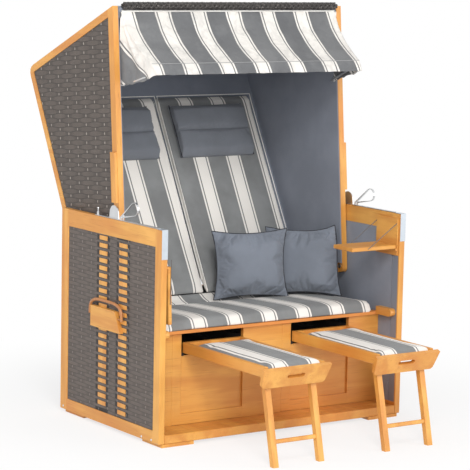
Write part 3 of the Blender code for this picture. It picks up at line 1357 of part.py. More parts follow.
def footrest_legs(side, word):
    """Two legs with a rung, hung on an axle between the tray's side rails."""
    middle = side * DRAWER_CENTRE
    splay = radians(LEG_SPLAY)
    length = LEG_PIVOT_Z / cos(splay)
    half_x, half_y = LEG_X / 2, LEG_Y / 2
    foot_cut = tan(splay) * half_y
    shape = bmesh.new()
    for way in (-1, 1):
        x = middle + way * LEG_OFFSET
        outline = [(half_y * cos(a), half_y * sin(a)) for a in [pi * i / 6 for i in range(7)]]
        outline += [(-half_y, -length - foot_cut), (half_y, -length + foot_cut)]
        add_slab(shape, outline, x - half_x, x + half_x)
    inner = LEG_OFFSET - half_x + TENON / 2
    rung = length - RUNG_Z / cos(splay)
    add_block(shape, (middle - inner, -RUNG_HEIGHT / 2, -rung - RUNG_HEIGHT / 2),
              (middle + inner, RUNG_HEIGHT / 2, -rung + RUNG_HEIGHT / 2), EDGE_ROUND)
    reach = TRAY_HALF - TRAY_RAIL - FIT
    add_rod(shape, (middle - reach, 0, 0), (middle + reach, 0, 0), AXLE_RADIUS, 10)
    place = Matrix.Translation((0, LEG_PIVOT_Y, LEG_PIVOT_Z)) @ Matrix.Rotation(-splay, 4, "X")
    bmesh.ops.transform(shape, matrix=place, verts=shape.verts)
    from_bmesh(f"footrest_legs_{word}", shape, "wood", (middle, LEG_PIVOT_Y, LEG_PIVOT_Z), fused=True)


def throw_pillow(word, place, turn, lean):
    """A square pillow, thin at its edges, standing on the seat against the back."""
    count = 6
    half, tall = PILLOW_WIDTH / 2, PILLOW_HEIGHT / 2
    ticks = [-1 + 2 * i / count for i in range(count + 1)]

    def skin(way):
        made = []
        for v in ticks:
            for u in ticks:
                swell = ((1 - u ** 4) * (1 - v ** 4)) ** 0.5
                pull = 1 - 0.05 * (1 - u * u) * v * v
                tuck = 1 - 0.05 * (1 - v * v) * u * u
                depth = way * (PILLOW_THICK / 2 * swell + SOFT_ROUND / 4)
                made.append((half * u * tuck, depth, tall * v * pull))
        return made

    row = count + 1
    front, back = skin(-1), skin(1)
    faces = []
    for r in range(count):
        for c in range(count):
            a = r * row + c
            faces.append((a, a + 1, a + row + 1, a + row))
    size = row * row
    faces += [tuple(size + i for i in reversed(f)) for f in faces]
    rim = list(range(count)) + [r * row + count for r in range(count)]
    rim += [size - 1 - c for c in range(count)] + [(count - r) * row for r in range(count)]
    for i, a in enumerate(rim):
        b = rim[(i + 1) % len(rim)]
        faces.append((b, a, size + a, size + b))
    mesh = bpy.data.meshes.new("pillow")
    mesh.from_pydata(front + back, [], faces)
    roll = atan2(SEAT_SLOPE * sin(radians(turn)), 1)
    foot = (*place, seat_top(place[1]) + PILLOW_CLEAR)
    stand = (Matrix.Translation(foot) @ Matrix.Rotation(-radians(turn), 4, "Z")
             @ Matrix.Rotation(-roll, 4, "Y") @ Matrix.Rotation(-radians(lean), 4, "X")
             @ Matrix.Translation((0, 0, tall)))
    shape = bmesh.new()
    join_mesh(shape, mesh, stand)
    from_bmesh(f"throw_pillow_{word}", shape, "slate_fabric", foot)


def settle():
    """Carry everything on one empty, whose place puts the origin under the middle."""
    bpy.context.view_layer.update()
    corners = [obj.matrix_world @ v.co for obj in carried if obj.name in parts.objects
               for v in obj.data.vertices]
    shift_y = -(min(c.y for c in corners) + max(c.y for c in corners)) / 2
    carrier = bpy.data.objects.new("beach_chair_origin", None)
    parts.objects.link(carrier)
    for obj in carried:
        obj.parent = carrier
    carrier.location = (0, shift_y, 0)


def seat_top(y):
    """Height of the seat cushion's top."""
    return seat_height(y) + SEAT_THICK + CUSHION_THICK + FIT


def main():
    """Build the chair, sub-part by sub-part."""
    clear_scene()
    for builder in (side_frame, side_weave, side_lining, pivot_bolt, drawer_case, seat_rail,
                    corner_guard, lock_plate, lock_pin, lock_bow, carry_block, carry_bail,
                    table_backing, hood_side, hood_weave, hood_lining, back_cushion, neck_pillow,
                    footrest_tray, footrest_pad, footrest_legs):
        both_sides(builder)
    for builder in (slatted_floor, carcass_front, seat_board, seat_cushion, rear_frame, rear_weave,
                    hood_roof, hood_back, braid_roll, awning_fabric, awning_bow):
        builder()
    table_and_stays(-1, "left", TABLE_FOLD)
    table_and_stays(1, "right", 0)
    throw_pillow("left", LEFT_PILLOW, LEFT_PILLOW_TURN, PILLOW_LEAN)
    throw_pillow("right", RIGHT_PILLOW, RIGHT_PILLOW_TURN, PILLOW_LEAN)
    settle()


main()
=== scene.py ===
# %% [markdown]
# # A hooded beach chair
# Two people sit side by side in a woven box of honey-coloured hardwood, under a hood that leans
# back. The solids come in as a fixed frame. Everything here dresses them: wood, woven bands,
# striped cloth, stuffed cushions and an awning. Each step says what the piece is on the real
# object and why it is made this way.

# %% Load the frame
from math import atan2, cos, hypot, pi, radians, sin, tan

import bmesh
import bpy
from mathutils import Matrix, Vector


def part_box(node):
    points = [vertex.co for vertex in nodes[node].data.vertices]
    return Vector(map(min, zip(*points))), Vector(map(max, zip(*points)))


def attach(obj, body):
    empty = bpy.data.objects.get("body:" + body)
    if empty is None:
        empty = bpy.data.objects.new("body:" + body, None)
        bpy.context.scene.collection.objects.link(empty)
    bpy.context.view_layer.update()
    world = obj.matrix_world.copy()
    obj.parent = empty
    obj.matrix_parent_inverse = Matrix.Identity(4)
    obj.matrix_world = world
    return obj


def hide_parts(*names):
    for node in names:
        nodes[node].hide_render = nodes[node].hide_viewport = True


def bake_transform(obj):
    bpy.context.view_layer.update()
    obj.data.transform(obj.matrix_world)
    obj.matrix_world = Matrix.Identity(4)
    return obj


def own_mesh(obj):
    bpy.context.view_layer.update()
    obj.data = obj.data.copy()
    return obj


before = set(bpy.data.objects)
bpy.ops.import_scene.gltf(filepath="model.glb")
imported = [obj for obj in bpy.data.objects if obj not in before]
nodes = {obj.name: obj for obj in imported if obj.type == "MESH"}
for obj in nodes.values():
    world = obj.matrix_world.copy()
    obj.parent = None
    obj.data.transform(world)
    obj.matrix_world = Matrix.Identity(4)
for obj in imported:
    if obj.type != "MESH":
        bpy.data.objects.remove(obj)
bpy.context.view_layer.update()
scene = bpy.context.scene

# %% [markdown]
# The woven box is symmetric from front to back, so the middle of one of its side frames gives the
# plane that most places below are measured from. `SIDES` pairs each side's sign with its word.

# %% Shared places
low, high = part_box("side_frame_right")
MIDDLE_Y = (low.y + high.y) / 2
SIDES = ((-1, "left"), (1, "right"))
STRIPE_PITCH = 0.166
print("middle of the box:", round(MIDDLE_Y, 4))

# %% [markdown]
# ## Camera
# The photograph is taken from far off with a long lens, a little above the seat and turned to the
# chair's right-hand side. The camera's axes are built from a heading, a pitch and a small roll.

# %% Camera
CAMERA_PLACE = Vector((-4.7796, -7.0095 + MIDDLE_Y, 1.9000))
CAMERA_HEADING, CAMERA_PITCH, CAMERA_ROLL = radians(34.3249), radians(7.8283), radians(-1.1964)
PHOTO_FOCAL_PIXELS, PHOTO_SIZE, SENSOR = 2125.83, 470, 36.0

forward = Vector((sin(CAMERA_HEADING) * cos(CAMERA_PITCH), cos(CAMERA_HEADING) * cos(CAMERA_PITCH),
                  -sin(CAMERA_PITCH)))
right = Vector((cos(CAMERA_HEADING), -sin(CAMERA_HEADING), 0))
down = forward.cross(right)
right_rolled = right * cos(CAMERA_ROLL) + down * sin(CAMERA_ROLL)
down_rolled = down * cos(CAMERA_ROLL) - right * sin(CAMERA_ROLL)
camera_data = bpy.data.cameras.new("camera")
camera_data.lens = PHOTO_FOCAL_PIXELS / PHOTO_SIZE * SENSOR
camera_data.sensor_width = SENSOR
camera = bpy.data.objects.new("camera", camera_data)
scene.collection.objects.link(camera)
axes = Matrix((right_rolled, -down_rolled, -forward)).transposed()
camera.matrix_world = Matrix.Translation(CAMERA_PLACE) @ axes.to_4x4()
scene.camera = camera
scene.view_settings.view_transform = "Standard"
print("lens:", round(camera_data.lens, 2), "mm")

# %% [markdown]
# ## Light
# A bright studio: two soft lamps high at the front left, a weaker one on each side, and an even
# world. The backdrop looks white to the camera only, so it adds no light to the chair.

# %% Lamps and world
def area_lamp(name, place, aim, size, watts):
    """A square soft lamp that points at a place."""
    data = bpy.data.lights.new(name, "AREA")
    data.size, data.energy = size, watts
    lamp = bpy.data.objects.new(name, data)
    lamp.location = place
    lamp.rotation_euler = (Vector(aim) - Vector(place)).to_track_quat("-Z", "Y").to_euler()
    scene.collection.objects.link(lamp)


area_lamp("front_light", (-2.8, -5.6, 2.8), (0, 0, 0.9), 3.0, 150)
area_lamp("high_light", (-2.4, -4.4, 4.4), (0, 0, 0.7), 1.4, 120)
area_lamp("right_light", (3.2, -4.4, 2.2), (0, 0, 0.8), 3.0, 70)
area_lamp("left_light", (-5.0, 0.6, 2.4), (0, 0, 0.8), 3.0, 60)

# %% [markdown]
# ## Shader maths
# A small class wraps a socket, so that a pattern can be written as an ordinary expression. Each
# operator adds one Math node. Every other node comes from one method, which sets the node's own
# settings first and then its values and links.

# %% Socket arithmetic
class Wire:
    """One output socket of a material, with arithmetic."""

    def __init__(self, tree, socket):
        self.tree, self.socket = tree, socket

    def math(self, operation, *others, clamp=False):
        node = self.tree.nodes.new("ShaderNodeMath")
        node.operation, node.use_clamp = operation, clamp
        for slot, value in enumerate((self, *others)):
            plug(self.tree, node.inputs[slot], value)
        return Wire(self.tree, node.outputs[0])

    def flip(self, operation, other):
        start = self.tree.nodes.new("ShaderNodeValue").outputs[0]
        start.default_value = other
        return Wire(self.tree, start).math(operation, self)

    def __add__(self, other): return self.math("ADD", other)
    def __sub__(self, other): return self.math("SUBTRACT", other)
    def __mul__(self, other): return self.math("MULTIPLY", other)
    def __truediv__(self, other): return self.math("DIVIDE", other)
    def __gt__(self, other): return self.math("GREATER_THAN", other)
    def __lt__(self, other): return self.math("LESS_THAN", other)
    def __mod__(self, other): return self.math("FLOORED_MODULO", other)
    def __neg__(self): return self.math("MULTIPLY", -1)
    def __radd__(self, other): return self.math("ADD", other)
    def __rmul__(self, other): return self.math("MULTIPLY", other)
    def __rsub__(self, other): return self.flip("SUBTRACT", other)
    def __rtruediv__(self, other): return self.flip("DIVIDE", other)
    def abs(self): return self.math("ABSOLUTE")
    def floor(self): return self.math("FLOOR")
    def sin(self): return self.math("SINE")
    def clip(self): return self.math("ADD", 0, clamp=True)

    def smooth(self, start, end):
        """0 below start, 1 above end, with a soft step between them."""
        if start > end:
            return 1 - self.smooth(end, start)
        share = ((self - start) / (end - start)).clip()
        return share * share * (3 - share * 2)


def plug(tree, target, value):
    """Link a wire or another node's socket to a socket, or set the socket's own value."""
    if isinstance(value, Wire):
        tree.links.new(value.socket, target)
    elif isinstance(value, bpy.types.NodeSocket):
        tree.links.new(value, target)
    else:
        target.default_value = value


def add_node(tree, kind, settings=None, values=None, out=0):
    """Any node: settings first, then values or links by socket name or number."""
    node = tree.nodes.new(kind)
    for key, value in (settings or {}).items():
        setattr(node, key, value)
    for key, value in (values or {}).items():
        plug(tree, node.inputs[key], value)
    return Wire(tree, node.outputs[out])


def split_of(tree, vector):
    """X, Y and Z of a vector."""
    node = tree.nodes.new("ShaderNodeSeparateXYZ")
    plug(tree, node.inputs[0], vector)
    return [Wire(tree, node.outputs[i]) for i in range(3)]


def from_nearest(wire, pitch):
    """Distance from the nearest whole multiple of a pitch."""
    return ((wire + pitch / 2) % pitch - pitch / 2).abs()


def tinted(colour):
    """A colour as a socket takes it: a wire stays, and three values get a fourth."""
    return (*colour, 1) if isinstance(colour, tuple) else colour


class Finish:
    """A material being built: its nodes, its coordinates and its Principled shader."""

    def __init__(self, name):
        self.material = bpy.data.materials.new(name)
        self.material.use_nodes = True
        self.tree = self.material.node_tree
        self.shader = self.tree.nodes["Principled BSDF"]
        self.place = self.node("ShaderNodeTexCoord", out="Object")

    def node(self, kind, settings=None, values=None, out=0):
        """Any node of this material."""
        return add_node(self.tree, kind, settings, values, out)

    def split(self, wire=None):
        """X, Y and Z of a vector, or of the place itself."""
        return split_of(self.tree, wire or self.place)

    def scaled(self, *factors):
        """The place, stretched by one factor along each axis."""
        return self.node("ShaderNodeVectorMath", {"operation": "MULTIPLY"},
                         {0: self.place, 1: factors})

    def join(self, x, y, z):
        """A vector from three values."""
        return self.node("ShaderNodeCombineXYZ", {}, {0: x, 1: y, 2: z})

    def noise(self, vector, scale, detail=3.0, roughness=0.5):
        """Soft random values from 0 to 1, the same each run."""
        return self.node("ShaderNodeTexNoise", {}, {
            "Vector": vector, "Scale": scale, "Detail": detail, "Roughness": roughness})

    def mix(self, share, first, second):
        """A colour between two colours."""
        return self.node("ShaderNodeMix", {"data_type": "RGBA"},
                         {"Factor": share, 6: tinted(first), 7: tinted(second)}, out=2)

    def bump(self, height, depth, strength=1.0, after=None):
        """A normal from a height pattern; depth is in metres."""
        values = {"Height": height, "Distance": depth, "Strength": strength}
        if after:
            values["Normal"] = after
        return self.node("ShaderNodeBump", {}, values)

    def done(self, colour=None, roughness=None, normal=None, **fixed):
        """Connect the pattern to the shader. Fixed values go straight on its sockets."""
        for key, value in (("Base Color", colour), ("Roughness", roughness), ("Normal", normal)):
            if value is not None:
                plug(self.tree, self.shader.inputs[key], tinted(value))
        for key, value in fixed.items():
            self.shader.inputs[key.replace("_", " ")].default_value = value
        return self.material


def linear(*rgb):
    """A colour as seen on screen, from 0 to 255, as the light values that a shader takes."""
    return tuple(((c / 255 + 0.055) / 1.055) ** 2.4 if c > 10 else c / 255 / 12.92 for c in rgb)


print("shader helpers ready")

# %% [markdown]
# ## Wood
# Every board and rail is the same hardwood under bright honey-coloured oil. Growth rings are soft
# bands that run along the board and are bent by noise, with fine dark pores on top. The grain
# follows the board, so the recipe takes the board's long direction.

# %% Wood
def wood(name, along, cross=None, switch=None, lined_or_shaded=None, lining=None):
    """Oiled hardwood whose grain runs along axis 0, 1 or 2; past a switch it runs along cross,
    and where the mask is set it takes the colour given: a cloth lining's own colour, or a dark
    painted shade."""
    finish = Finish(name)

    def grain(axis):
        stretch, fine = [16.0] * 3, [260.0] * 3
        stretch[axis], fine[axis] = 1.6, 9.0
        vector = finish.scaled(*stretch)
        warp = finish.noise(vector, 1.0, 3.0, 0.55)
        x, y, z = finish.split(vector)
        rings = ((x + y * 1.3 + z * 0.7 + warp * 6.0) * 2.1).sin() * 0.5 + 0.5
        return rings, finish.noise(finish.scaled(*fine), 1.0, 2.0, 0.6)

    rings, pores = grain(along)
    if switch is not None:
        other_rings, other_pores = grain(cross)
        mask = switch(finish)
        rings = rings * (1 - mask) + other_rings * mask
        pores = pores * (1 - mask) + other_pores * mask
    patches = finish.noise(finish.place, 7.0, 2.0)
    pale = finish.mix(patches.smooth(0.35, 0.7), linear(216, 156, 73), linear(227, 169, 84))
    warm = finish.mix(rings * 0.65, pale, linear(197, 127, 54))
    broad = finish.noise(finish.place, 2.2, 2.0).smooth(0.42, 0.66)
    warm = finish.mix(broad * 0.40, warm, linear(202, 118, 48))
    colour = finish.mix(pores.smooth(0.58, 0.78) * 0.42, warm, linear(148, 84, 38))
    # Where the mask is set, its colour replaces the wood: the side lining's own colour on the front
    # posts, and painted shade on the rear frame's inner face.
    if lined_or_shaded is not None:
        colour = finish.mix(lined_or_shaded(finish), colour, lining)
    rough = 0.36 + pores * 0.16
    normal = finish.bump(rings * 0.4 - pores.smooth(0.5, 0.8), 0.0002, 0.5)
    return finish.done(colour, rough, normal, Coat_Weight=0.12, Coat_Roughness=0.25)


POST_INSIDE = 0.326  # from the box's middle to the posts' inner edges
LINING_EDGE, LINING_FRONT, LINING_BACK = 0.5545, -0.3040, -0.20
LINING_LOW, LINING_TOP = 0.0603, 0.661


def side_posts(finish):
    """1 on the upright posts of the box's sides, where the grain stands upright."""
    return (finish.split()[1] - MIDDLE_Y).abs() > POST_INSIDE


def covered_inside(finish):
    """1 on the front posts' inner faces, which the side lining covers below the arms."""
    x, y, z = finish.split()
    return ((x.abs() < LINING_EDGE) * (y > LINING_FRONT) * (y < LINING_BACK)
            * (z > LINING_LOW) * (z < LINING_TOP))


def painted_shade_board(name, shade_from=None):
    """Board painted near black, as painted shade in the hollow under the seat; past shade_from
    only, if given.
    """
    finish = Finish(name)
    soft = finish.noise(finish.place, 20.0, 3.0)
    dark = finish.mix(soft, linear(22, 19, 18), linear(40, 33, 29))
    if shade_from is not None:
        dark = finish.mix(finish.split()[1] > shade_from, linear(214, 138, 70), dark)
    return finish.done(dark, 0.8, finish.bump(soft, 0.0004, 0.4))


# Painted shade: the drawer cases and the seat board behind the seat cushion are painted near black,
# so that the hollow and the crevice there read as shade.
WOOD_PAINTED_SHADE = painted_shade_board("painted_shade_board")
SEAT_SHADE_FROM = -0.215 + MIDDLE_Y
WOOD_SEAT_PAINTED_SHADE = painted_shade_board("seat_board_painted_shade", SEAT_SHADE_FROM)
WOOD_X, WOOD_Y, WOOD_Z = (wood(f"oiled_wood_{word}", i) for i, word in enumerate("xyz"))
WOOD_SIDE = wood("oiled_wood_side", 1, 2, side_posts, lined_or_shaded=covered_inside,
                 lining=linear(126, 131, 142))
# Painted shade: the rear frame's inner face, seen in the gap behind the seat, gets a dark grey
# instead of wood.
REAR_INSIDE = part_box("rear_frame")[0].y + 0.001
WOOD_REAR_SHADED_INSIDE = wood("oiled_wood_rear_painted_shade", 0, lined_or_shaded=lambda finish: finish.split()[1] < REAR_INSIDE,
                 lining=linear(52, 55, 60))


def cane(name):
    """Bent cane for the carrying bails: browner, with fine rings along it."""
    finish = Finish(name)
    _, y, z = finish.split()
    rings = ((y + z * 0.6) * (2 * pi / 0.006)).sin() * 0.5 + 0.5
    soft = finish.noise(finish.place, 60.0, 3.0)
    colour = finish.mix(soft * 0.7 + rings * 0.3, linear(150, 92, 50), linear(204, 142, 86))
    return finish.done(colour, 0.45, finish.bump(rings, 0.0004, 0.5))


CANE = cane("bent_cane")
print("wood finishes ready")

# %% [markdown]
# ## Cloth
# All cloth here is a flat plain weave. Slate is one colour. The striped cloth is grey with groups
# of white: a thin white line, a thin grey gap, a broad white band, a gap and a thin line again.
# The stripes run from front to back, so the cloth reads the X coordinate alone, and the pattern
# meets by itself where one cushion ends and the next begins.

# %% Cloth
THREAD_PITCH = 0.0011


def thread(finish):
    """Height of a fine plain weave, the same in all directions."""
    x, y, z = finish.split()
    across = (x * (2 * pi / THREAD_PITCH)).sin()
    along = ((y + z * 0.8) * (2 * pi / THREAD_PITCH)).sin()
    return across * along * 0.5 + 0.5


def slate_cloth(name, tint):
    """Plain slate cloth with soft uneven patches and slight creases."""
    finish = Finish(name)
    weave = thread(finish)
    soft = finish.noise(finish.place, 5.0, 4.0, 0.6)
    light = tuple(min(1, c * 1.35) for c in tint)
    colour = finish.mix(soft.smooth(0.3, 0.7) * 0.6 + weave * 0.2, tint, light)
    crease = finish.noise(finish.place, 14.0, 3.0, 0.55)
    normal = finish.bump(crease, 0.004, 0.25, after=finish.bump(weave, 0.0003, 0.5))
    return finish.done(colour, 0.92, normal, Sheen_Weight=0.15, Sheen_Roughness=0.5)


BROAD_HALF, LINE_FROM, LINE_TO, STRIPE_SOFT = 0.0250, 0.0290, 0.0380, 0.0010


def stripes(near):
    """1 where the cloth is white: a broad band between two thin lines."""
    broad = near.smooth(BROAD_HALF, BROAD_HALF - STRIPE_SOFT)
    line = (near.smooth(LINE_FROM, LINE_FROM + STRIPE_SOFT)
            * near.smooth(LINE_TO, LINE_TO - STRIPE_SOFT))
    return broad + line


def dark_lines(near):
    """1 on the thin dark edges on both sides of the thin white lines."""
    inner = (near - 0.0270).abs().smooth(0.0016, 0.0008)
    outer = (near - 0.0388).abs().smooth(0.0014, 0.0006)
    return inner + outer * 0.6


def striped_cloth(name, x_of=None, centre=0.0, crease_depth=0.003, crease_share=0.25,
                  crease_shade=0.0):
    """Grey cloth with white stripes across X; with crease shade set, its greys are darker and
    painted shade darkens it along its creases.
    """
    finish = Finish(name)
    x = x_of(finish) if x_of else finish.split()[0]
    weave = thread(finish)
    soft = finish.noise(finish.place, 6.0, 4.0, 0.6)
    greys = ((100, 101, 103), (120, 121, 122)) if crease_shade else ((120, 121, 121), (136, 138, 138))
    grey = finish.mix(soft.smooth(0.3, 0.7), *(linear(*tone) for tone in greys))
    white = finish.mix(weave * 0.5 + soft * 0.3, linear(240, 236, 230), linear(223, 218, 211))
    near = from_nearest(x - centre, STRIPE_PITCH)
    colour = finish.mix(stripes(near).clip(), grey, white)
    colour = finish.mix(dark_lines(near).clip() * 0.75, colour, linear(84, 84, 86))
    crease = finish.noise(finish.place, 12.0, 3.0, 0.5)
    # Painted shade: the cloth darkens along thin crease lines and in soft broad blotches.
    if crease_shade:
        crease_shade_lines = (crease - 0.5).abs().smooth(0.07, 0.0)
        broad = finish.noise(finish.place, 4.5, 3.0, 0.6).smooth(0.35, 0.7)
        colour = finish.mix((crease_shade_lines * 0.5 + broad * 0.5) * crease_shade, colour, linear(84, 86, 90))
    normal = finish.bump(crease, crease_depth, crease_share,
                         after=finish.bump(weave, 0.0003, 0.5))
    return finish.done(colour, 0.9, normal, Sheen_Weight=0.12, Sheen_Roughness=0.5)


SLATE = slate_cloth("slate_cloth", linear(114, 118, 125))
SLATE_WALL = slate_cloth("slate_wall_cloth", linear(122, 127, 138))
SLATE_PILLOW = slate_cloth("slate_pillow_cloth", linear(112, 118, 128))
STRIPED_SEAT = striped_cloth("striped_seat_cloth", centre=0.006)


def fanned(finish):
    """X on the left back cushion, whose stripes fan out a little towards the top."""
    x, _, z = finish.split()
    return x + 0.0435 - (1.25 - z) * 0.027


STRIPED_BACK = {"left": striped_cloth("striped_back_cloth_left", x_of=fanned),
                "right": striped_cloth("striped_back_cloth_right", centre=-0.025)}
STRIPED_PAD = {"left": striped_cloth("striped_pad_cloth_left", centre=0.0170),
               "right": striped_cloth("striped_pad_cloth_right", centre=0.0285)}
PIPING_PALE = slate_cloth("pale_piping_cloth", linear(226, 223, 218))
PIPING_GREY = slate_cloth("grey_stitch_thread", linear(150, 150, 150))
PIPING_DARK = slate_cloth("dark_piping_cloth", linear(44, 46, 52))
print("cloth finishes ready")

# %% [markdown]
# ## Steel
# The bow, the guards and the lock fittings are plated steel: bright, with fine scratches that
# only change how sharp the reflections are.

# %% Steel
def steel(name, tint, rough):
    """Plated steel with faint brushing."""
    finish = Finish(name)
    scratch = finish.noise(finish.scaled(900.0, 900.0, 30.0), 1.0, 2.0)
    smudge = finish.noise(finish.place, 30.0, 3.0)
    colour = finish.mix(smudge, tint, tuple(c * 0.8 for c in tint))
    return finish.done(colour, rough + scratch * 0.14 + smudge * 0.06,
                       finish.bump(scratch, 0.00005, 0.3), Metallic=1.0)


STEEL = steel("plated_steel", (0.72, 0.73, 0.74), 0.22)
STEEL_DARK = steel("dark_steel", (0.20, 0.19, 0.19), 0.35)
GUARD_STEEL = steel("guard_steel", (0.60, 0.65, 0.70), 0.38)
print("steel finishes:", 3)

# %% [markdown]
# ## Pieces
# The same few steps finish most pieces below: link the mesh, work its modifiers in, give it its
# finish and the body that carries it.

# %% Making a piece
def new_piece(name, mesh):
    """An object at the origin with this mesh."""
    piece = bpy.data.objects.new(name, mesh)
    scene.collection.objects.link(piece)
    return piece


def built(name, points, faces, runs=()):
    """A mesh from points and faces, with the place along the cloth or the bands, if given."""
    mesh = bpy.data.meshes.new(name)
    mesh.from_pydata(points, [], faces)
    if runs:
        store = mesh.attributes.new("run", "FLOAT_VECTOR", "POINT")
        for i, value in enumerate(runs):
            store.data[i].vector = value
    return mesh


def grid_faces(rows, columns):
    """Squares between the points of a grid."""
    wide = columns + 1
    return [(r * wide + c, (r + 1) * wide + c, (r + 1) * wide + c + 1, r * wide + c + 1)
            for r in range(rows) for c in range(columns)]


def facing_out(mesh):
    """All faces of a closed mesh look outward."""
    shape = bmesh.new()
    shape.from_mesh(mesh)
    bmesh.ops.recalc_face_normals(shape, faces=shape.faces[:])
    shape.to_mesh(mesh)
    shape.free()


def made_mesh(piece):
    """The piece's mesh with its modifiers in it."""
    return bpy.data.meshes.new_from_object(
        piece.evaluated_get(bpy.context.evaluated_depsgraph_get()))


def work_in(piece):
    """The piece's modifiers become part of its mesh."""
    piece.data = made_mesh(piece)
    piece.modifiers.clear()


def smoothed(piece):
    """One step of subdivision."""
    subdivide = piece.modifiers.new("smooth", "SUBSURF")
    subdivide.levels = subdivide.render_levels = 1
    work_in(piece)


def thickened(piece, thickness):
    """A sheet gets its thickness, half on each side."""
    shell = piece.modifiers.new("thick", "SOLIDIFY")
    shell.thickness, shell.offset = thickness, 0.0
    work_in(piece)


def finished(piece, finish, body=None):
    """One finish, soft shading, and the body that carries the piece."""
    piece.data.materials.clear()
    piece.data.materials.append(finish)
    piece.data.shade_smooth()
    if body:
        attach(piece, body)
    return piece


print("piece helpers ready")

# %% [markdown]
# ## Weave
# The walls are plain weave: flat textured bands pass in front of one upright stake and behind the
# next, and each row does the opposite of the row below. Where a band goes behind, a short piece of
# the pale stake shows. A woven sheet follows a rule, so Geometry Nodes make it: a fine grid is
# lifted by a height that depends on the place alone. The place in metres along and across the
# bands is stored as the attribute `run`, which the material reads for its colours.

# %% Weave rule
STAKE_PITCH = 0.070
TICK_WIDTH, TICK_SHARE = 0.0044, 0.55


def bulging_rows(u, v, band, bulge):
    """Rows whose edges bow out where a band passes in front and pull in where it goes behind."""
    shift = (u * (pi / STAKE_PITCH) + pi / 2).sin() * (v / band * pi + pi / 2).sin()
    return v / band - shift * bulge


def node_group(name, inputs):
    """An empty Geometry Nodes tree with named number inputs and a material input."""
    tree = bpy.data.node_groups.new(name, "GeometryNodeTree")
    tree.interface.new_socket("Geometry", in_out="INPUT", socket_type="NodeSocketGeometry")
    for word, value in inputs.items():
        socket = tree.interface.new_socket(word, in_out="INPUT", socket_type="NodeSocketFloat")
        socket.default_value = value
    tree.interface.new_socket("Material", in_out="INPUT", socket_type="NodeSocketMaterial")
    tree.interface.new_socket("Geometry", in_out="OUTPUT", socket_type="NodeSocketGeometry")
    source = tree.nodes.new("NodeGroupInput")
    wires = {s.name: Wire(tree, s) for s in source.outputs if s.name}
    return tree, wires


def close_group(tree, geometry, material):
    """Realize Instances, Set Material, and the tree's output."""
    solid = add_node(tree, "GeometryNodeRealizeInstances", {}, {0: geometry})
    dressed = add_node(tree, "GeometryNodeSetMaterial", {}, {0: solid, "Material": material})
    target = tree.nodes.new("NodeGroupOutput")
    tree.links.new(dressed.socket, target.inputs[0])


def bake(name, tree, values, material):
    """Run a tree on an object and keep the result as a plain mesh."""
    piece = new_piece(name, bpy.data.meshes.new(name))
    modifier = piece.modifiers.new("rule", "NODES")
    modifier.node_group = tree
    for item in tree.interface.items_tree:
        if item.in_out == "INPUT" and item.name in values:
            modifier[item.identifier] = values[item.name]
        elif item.in_out == "INPUT" and item.name == "Material":
            modifier[item.identifier] = material
    bpy.context.view_layer.update()
    work_in(piece)
    piece.data.name = name
    return piece


def weave_tree():
    """The woven sheet, flat in X and Y, with its relief along Z."""
    tree, wires = node_group("woven_sheet", {
        "Width": 1.0, "Height": 1.0, "Step": 0.003, "Band": 0.0178, "Relief": 0.0016,
        "Bulge": 0.1, "Start U": 0.0, "Start V": 0.0})
    grid = add_node(tree, "GeometryNodeMeshGrid", {}, {
        "Size X": wires["Width"], "Size Y": wires["Height"],
        "Vertices X": (wires["Width"] / wires["Step"]).floor() + 2,
        "Vertices Y": (wires["Height"] / wires["Step"]).floor() + 2})
    x, y, _ = split_of(tree, add_node(tree, "GeometryNodeInputPosition"))
    u, v = x + wires["Start U"], y + wires["Start V"]
    rows_up = bulging_rows(u, v, wires["Band"], wires["Bulge"])
    row = rows_up.floor()
    side = (row % 2.0) * 2.0 - 1.0
    wave = (u * (2 * pi / (2 * STAKE_PITCH)) + pi / 2).sin() * side
    within = (rows_up % 1.0 - 0.5).abs() * 2.0
    crown = 1 - within.math("POWER", 6.0)
    height = (wave * 0.5 + 0.5) * 0.7 * crown + crown * 0.3
    stake = from_nearest(u, STAKE_PITCH).smooth(TICK_WIDTH, TICK_WIDTH * 0.6)
    tick = stake * within.smooth(0.95, TICK_SHARE)
    height = height.math("MAXIMUM", tick * 0.75)
    offset = add_node(tree, "ShaderNodeCombineXYZ", {}, {2: height * wires["Relief"]})
    run = add_node(tree, "ShaderNodeCombineXYZ", {}, {0: u, 1: v})
    stored = add_node(tree, "GeometryNodeStoreNamedAttribute",
                      {"data_type": "FLOAT_VECTOR", "domain": "POINT"},
                      {"Geometry": grid, "Name": "run", "Value": run})
    lifted = add_node(tree, "GeometryNodeSetPosition", {}, {0: stored, "Offset": offset})
    close_group(tree, lifted, wires["Material"])
    return tree


WEAVE_TREE = weave_tree()
print("woven sheet rule:", len(WEAVE_TREE.nodes), "nodes")
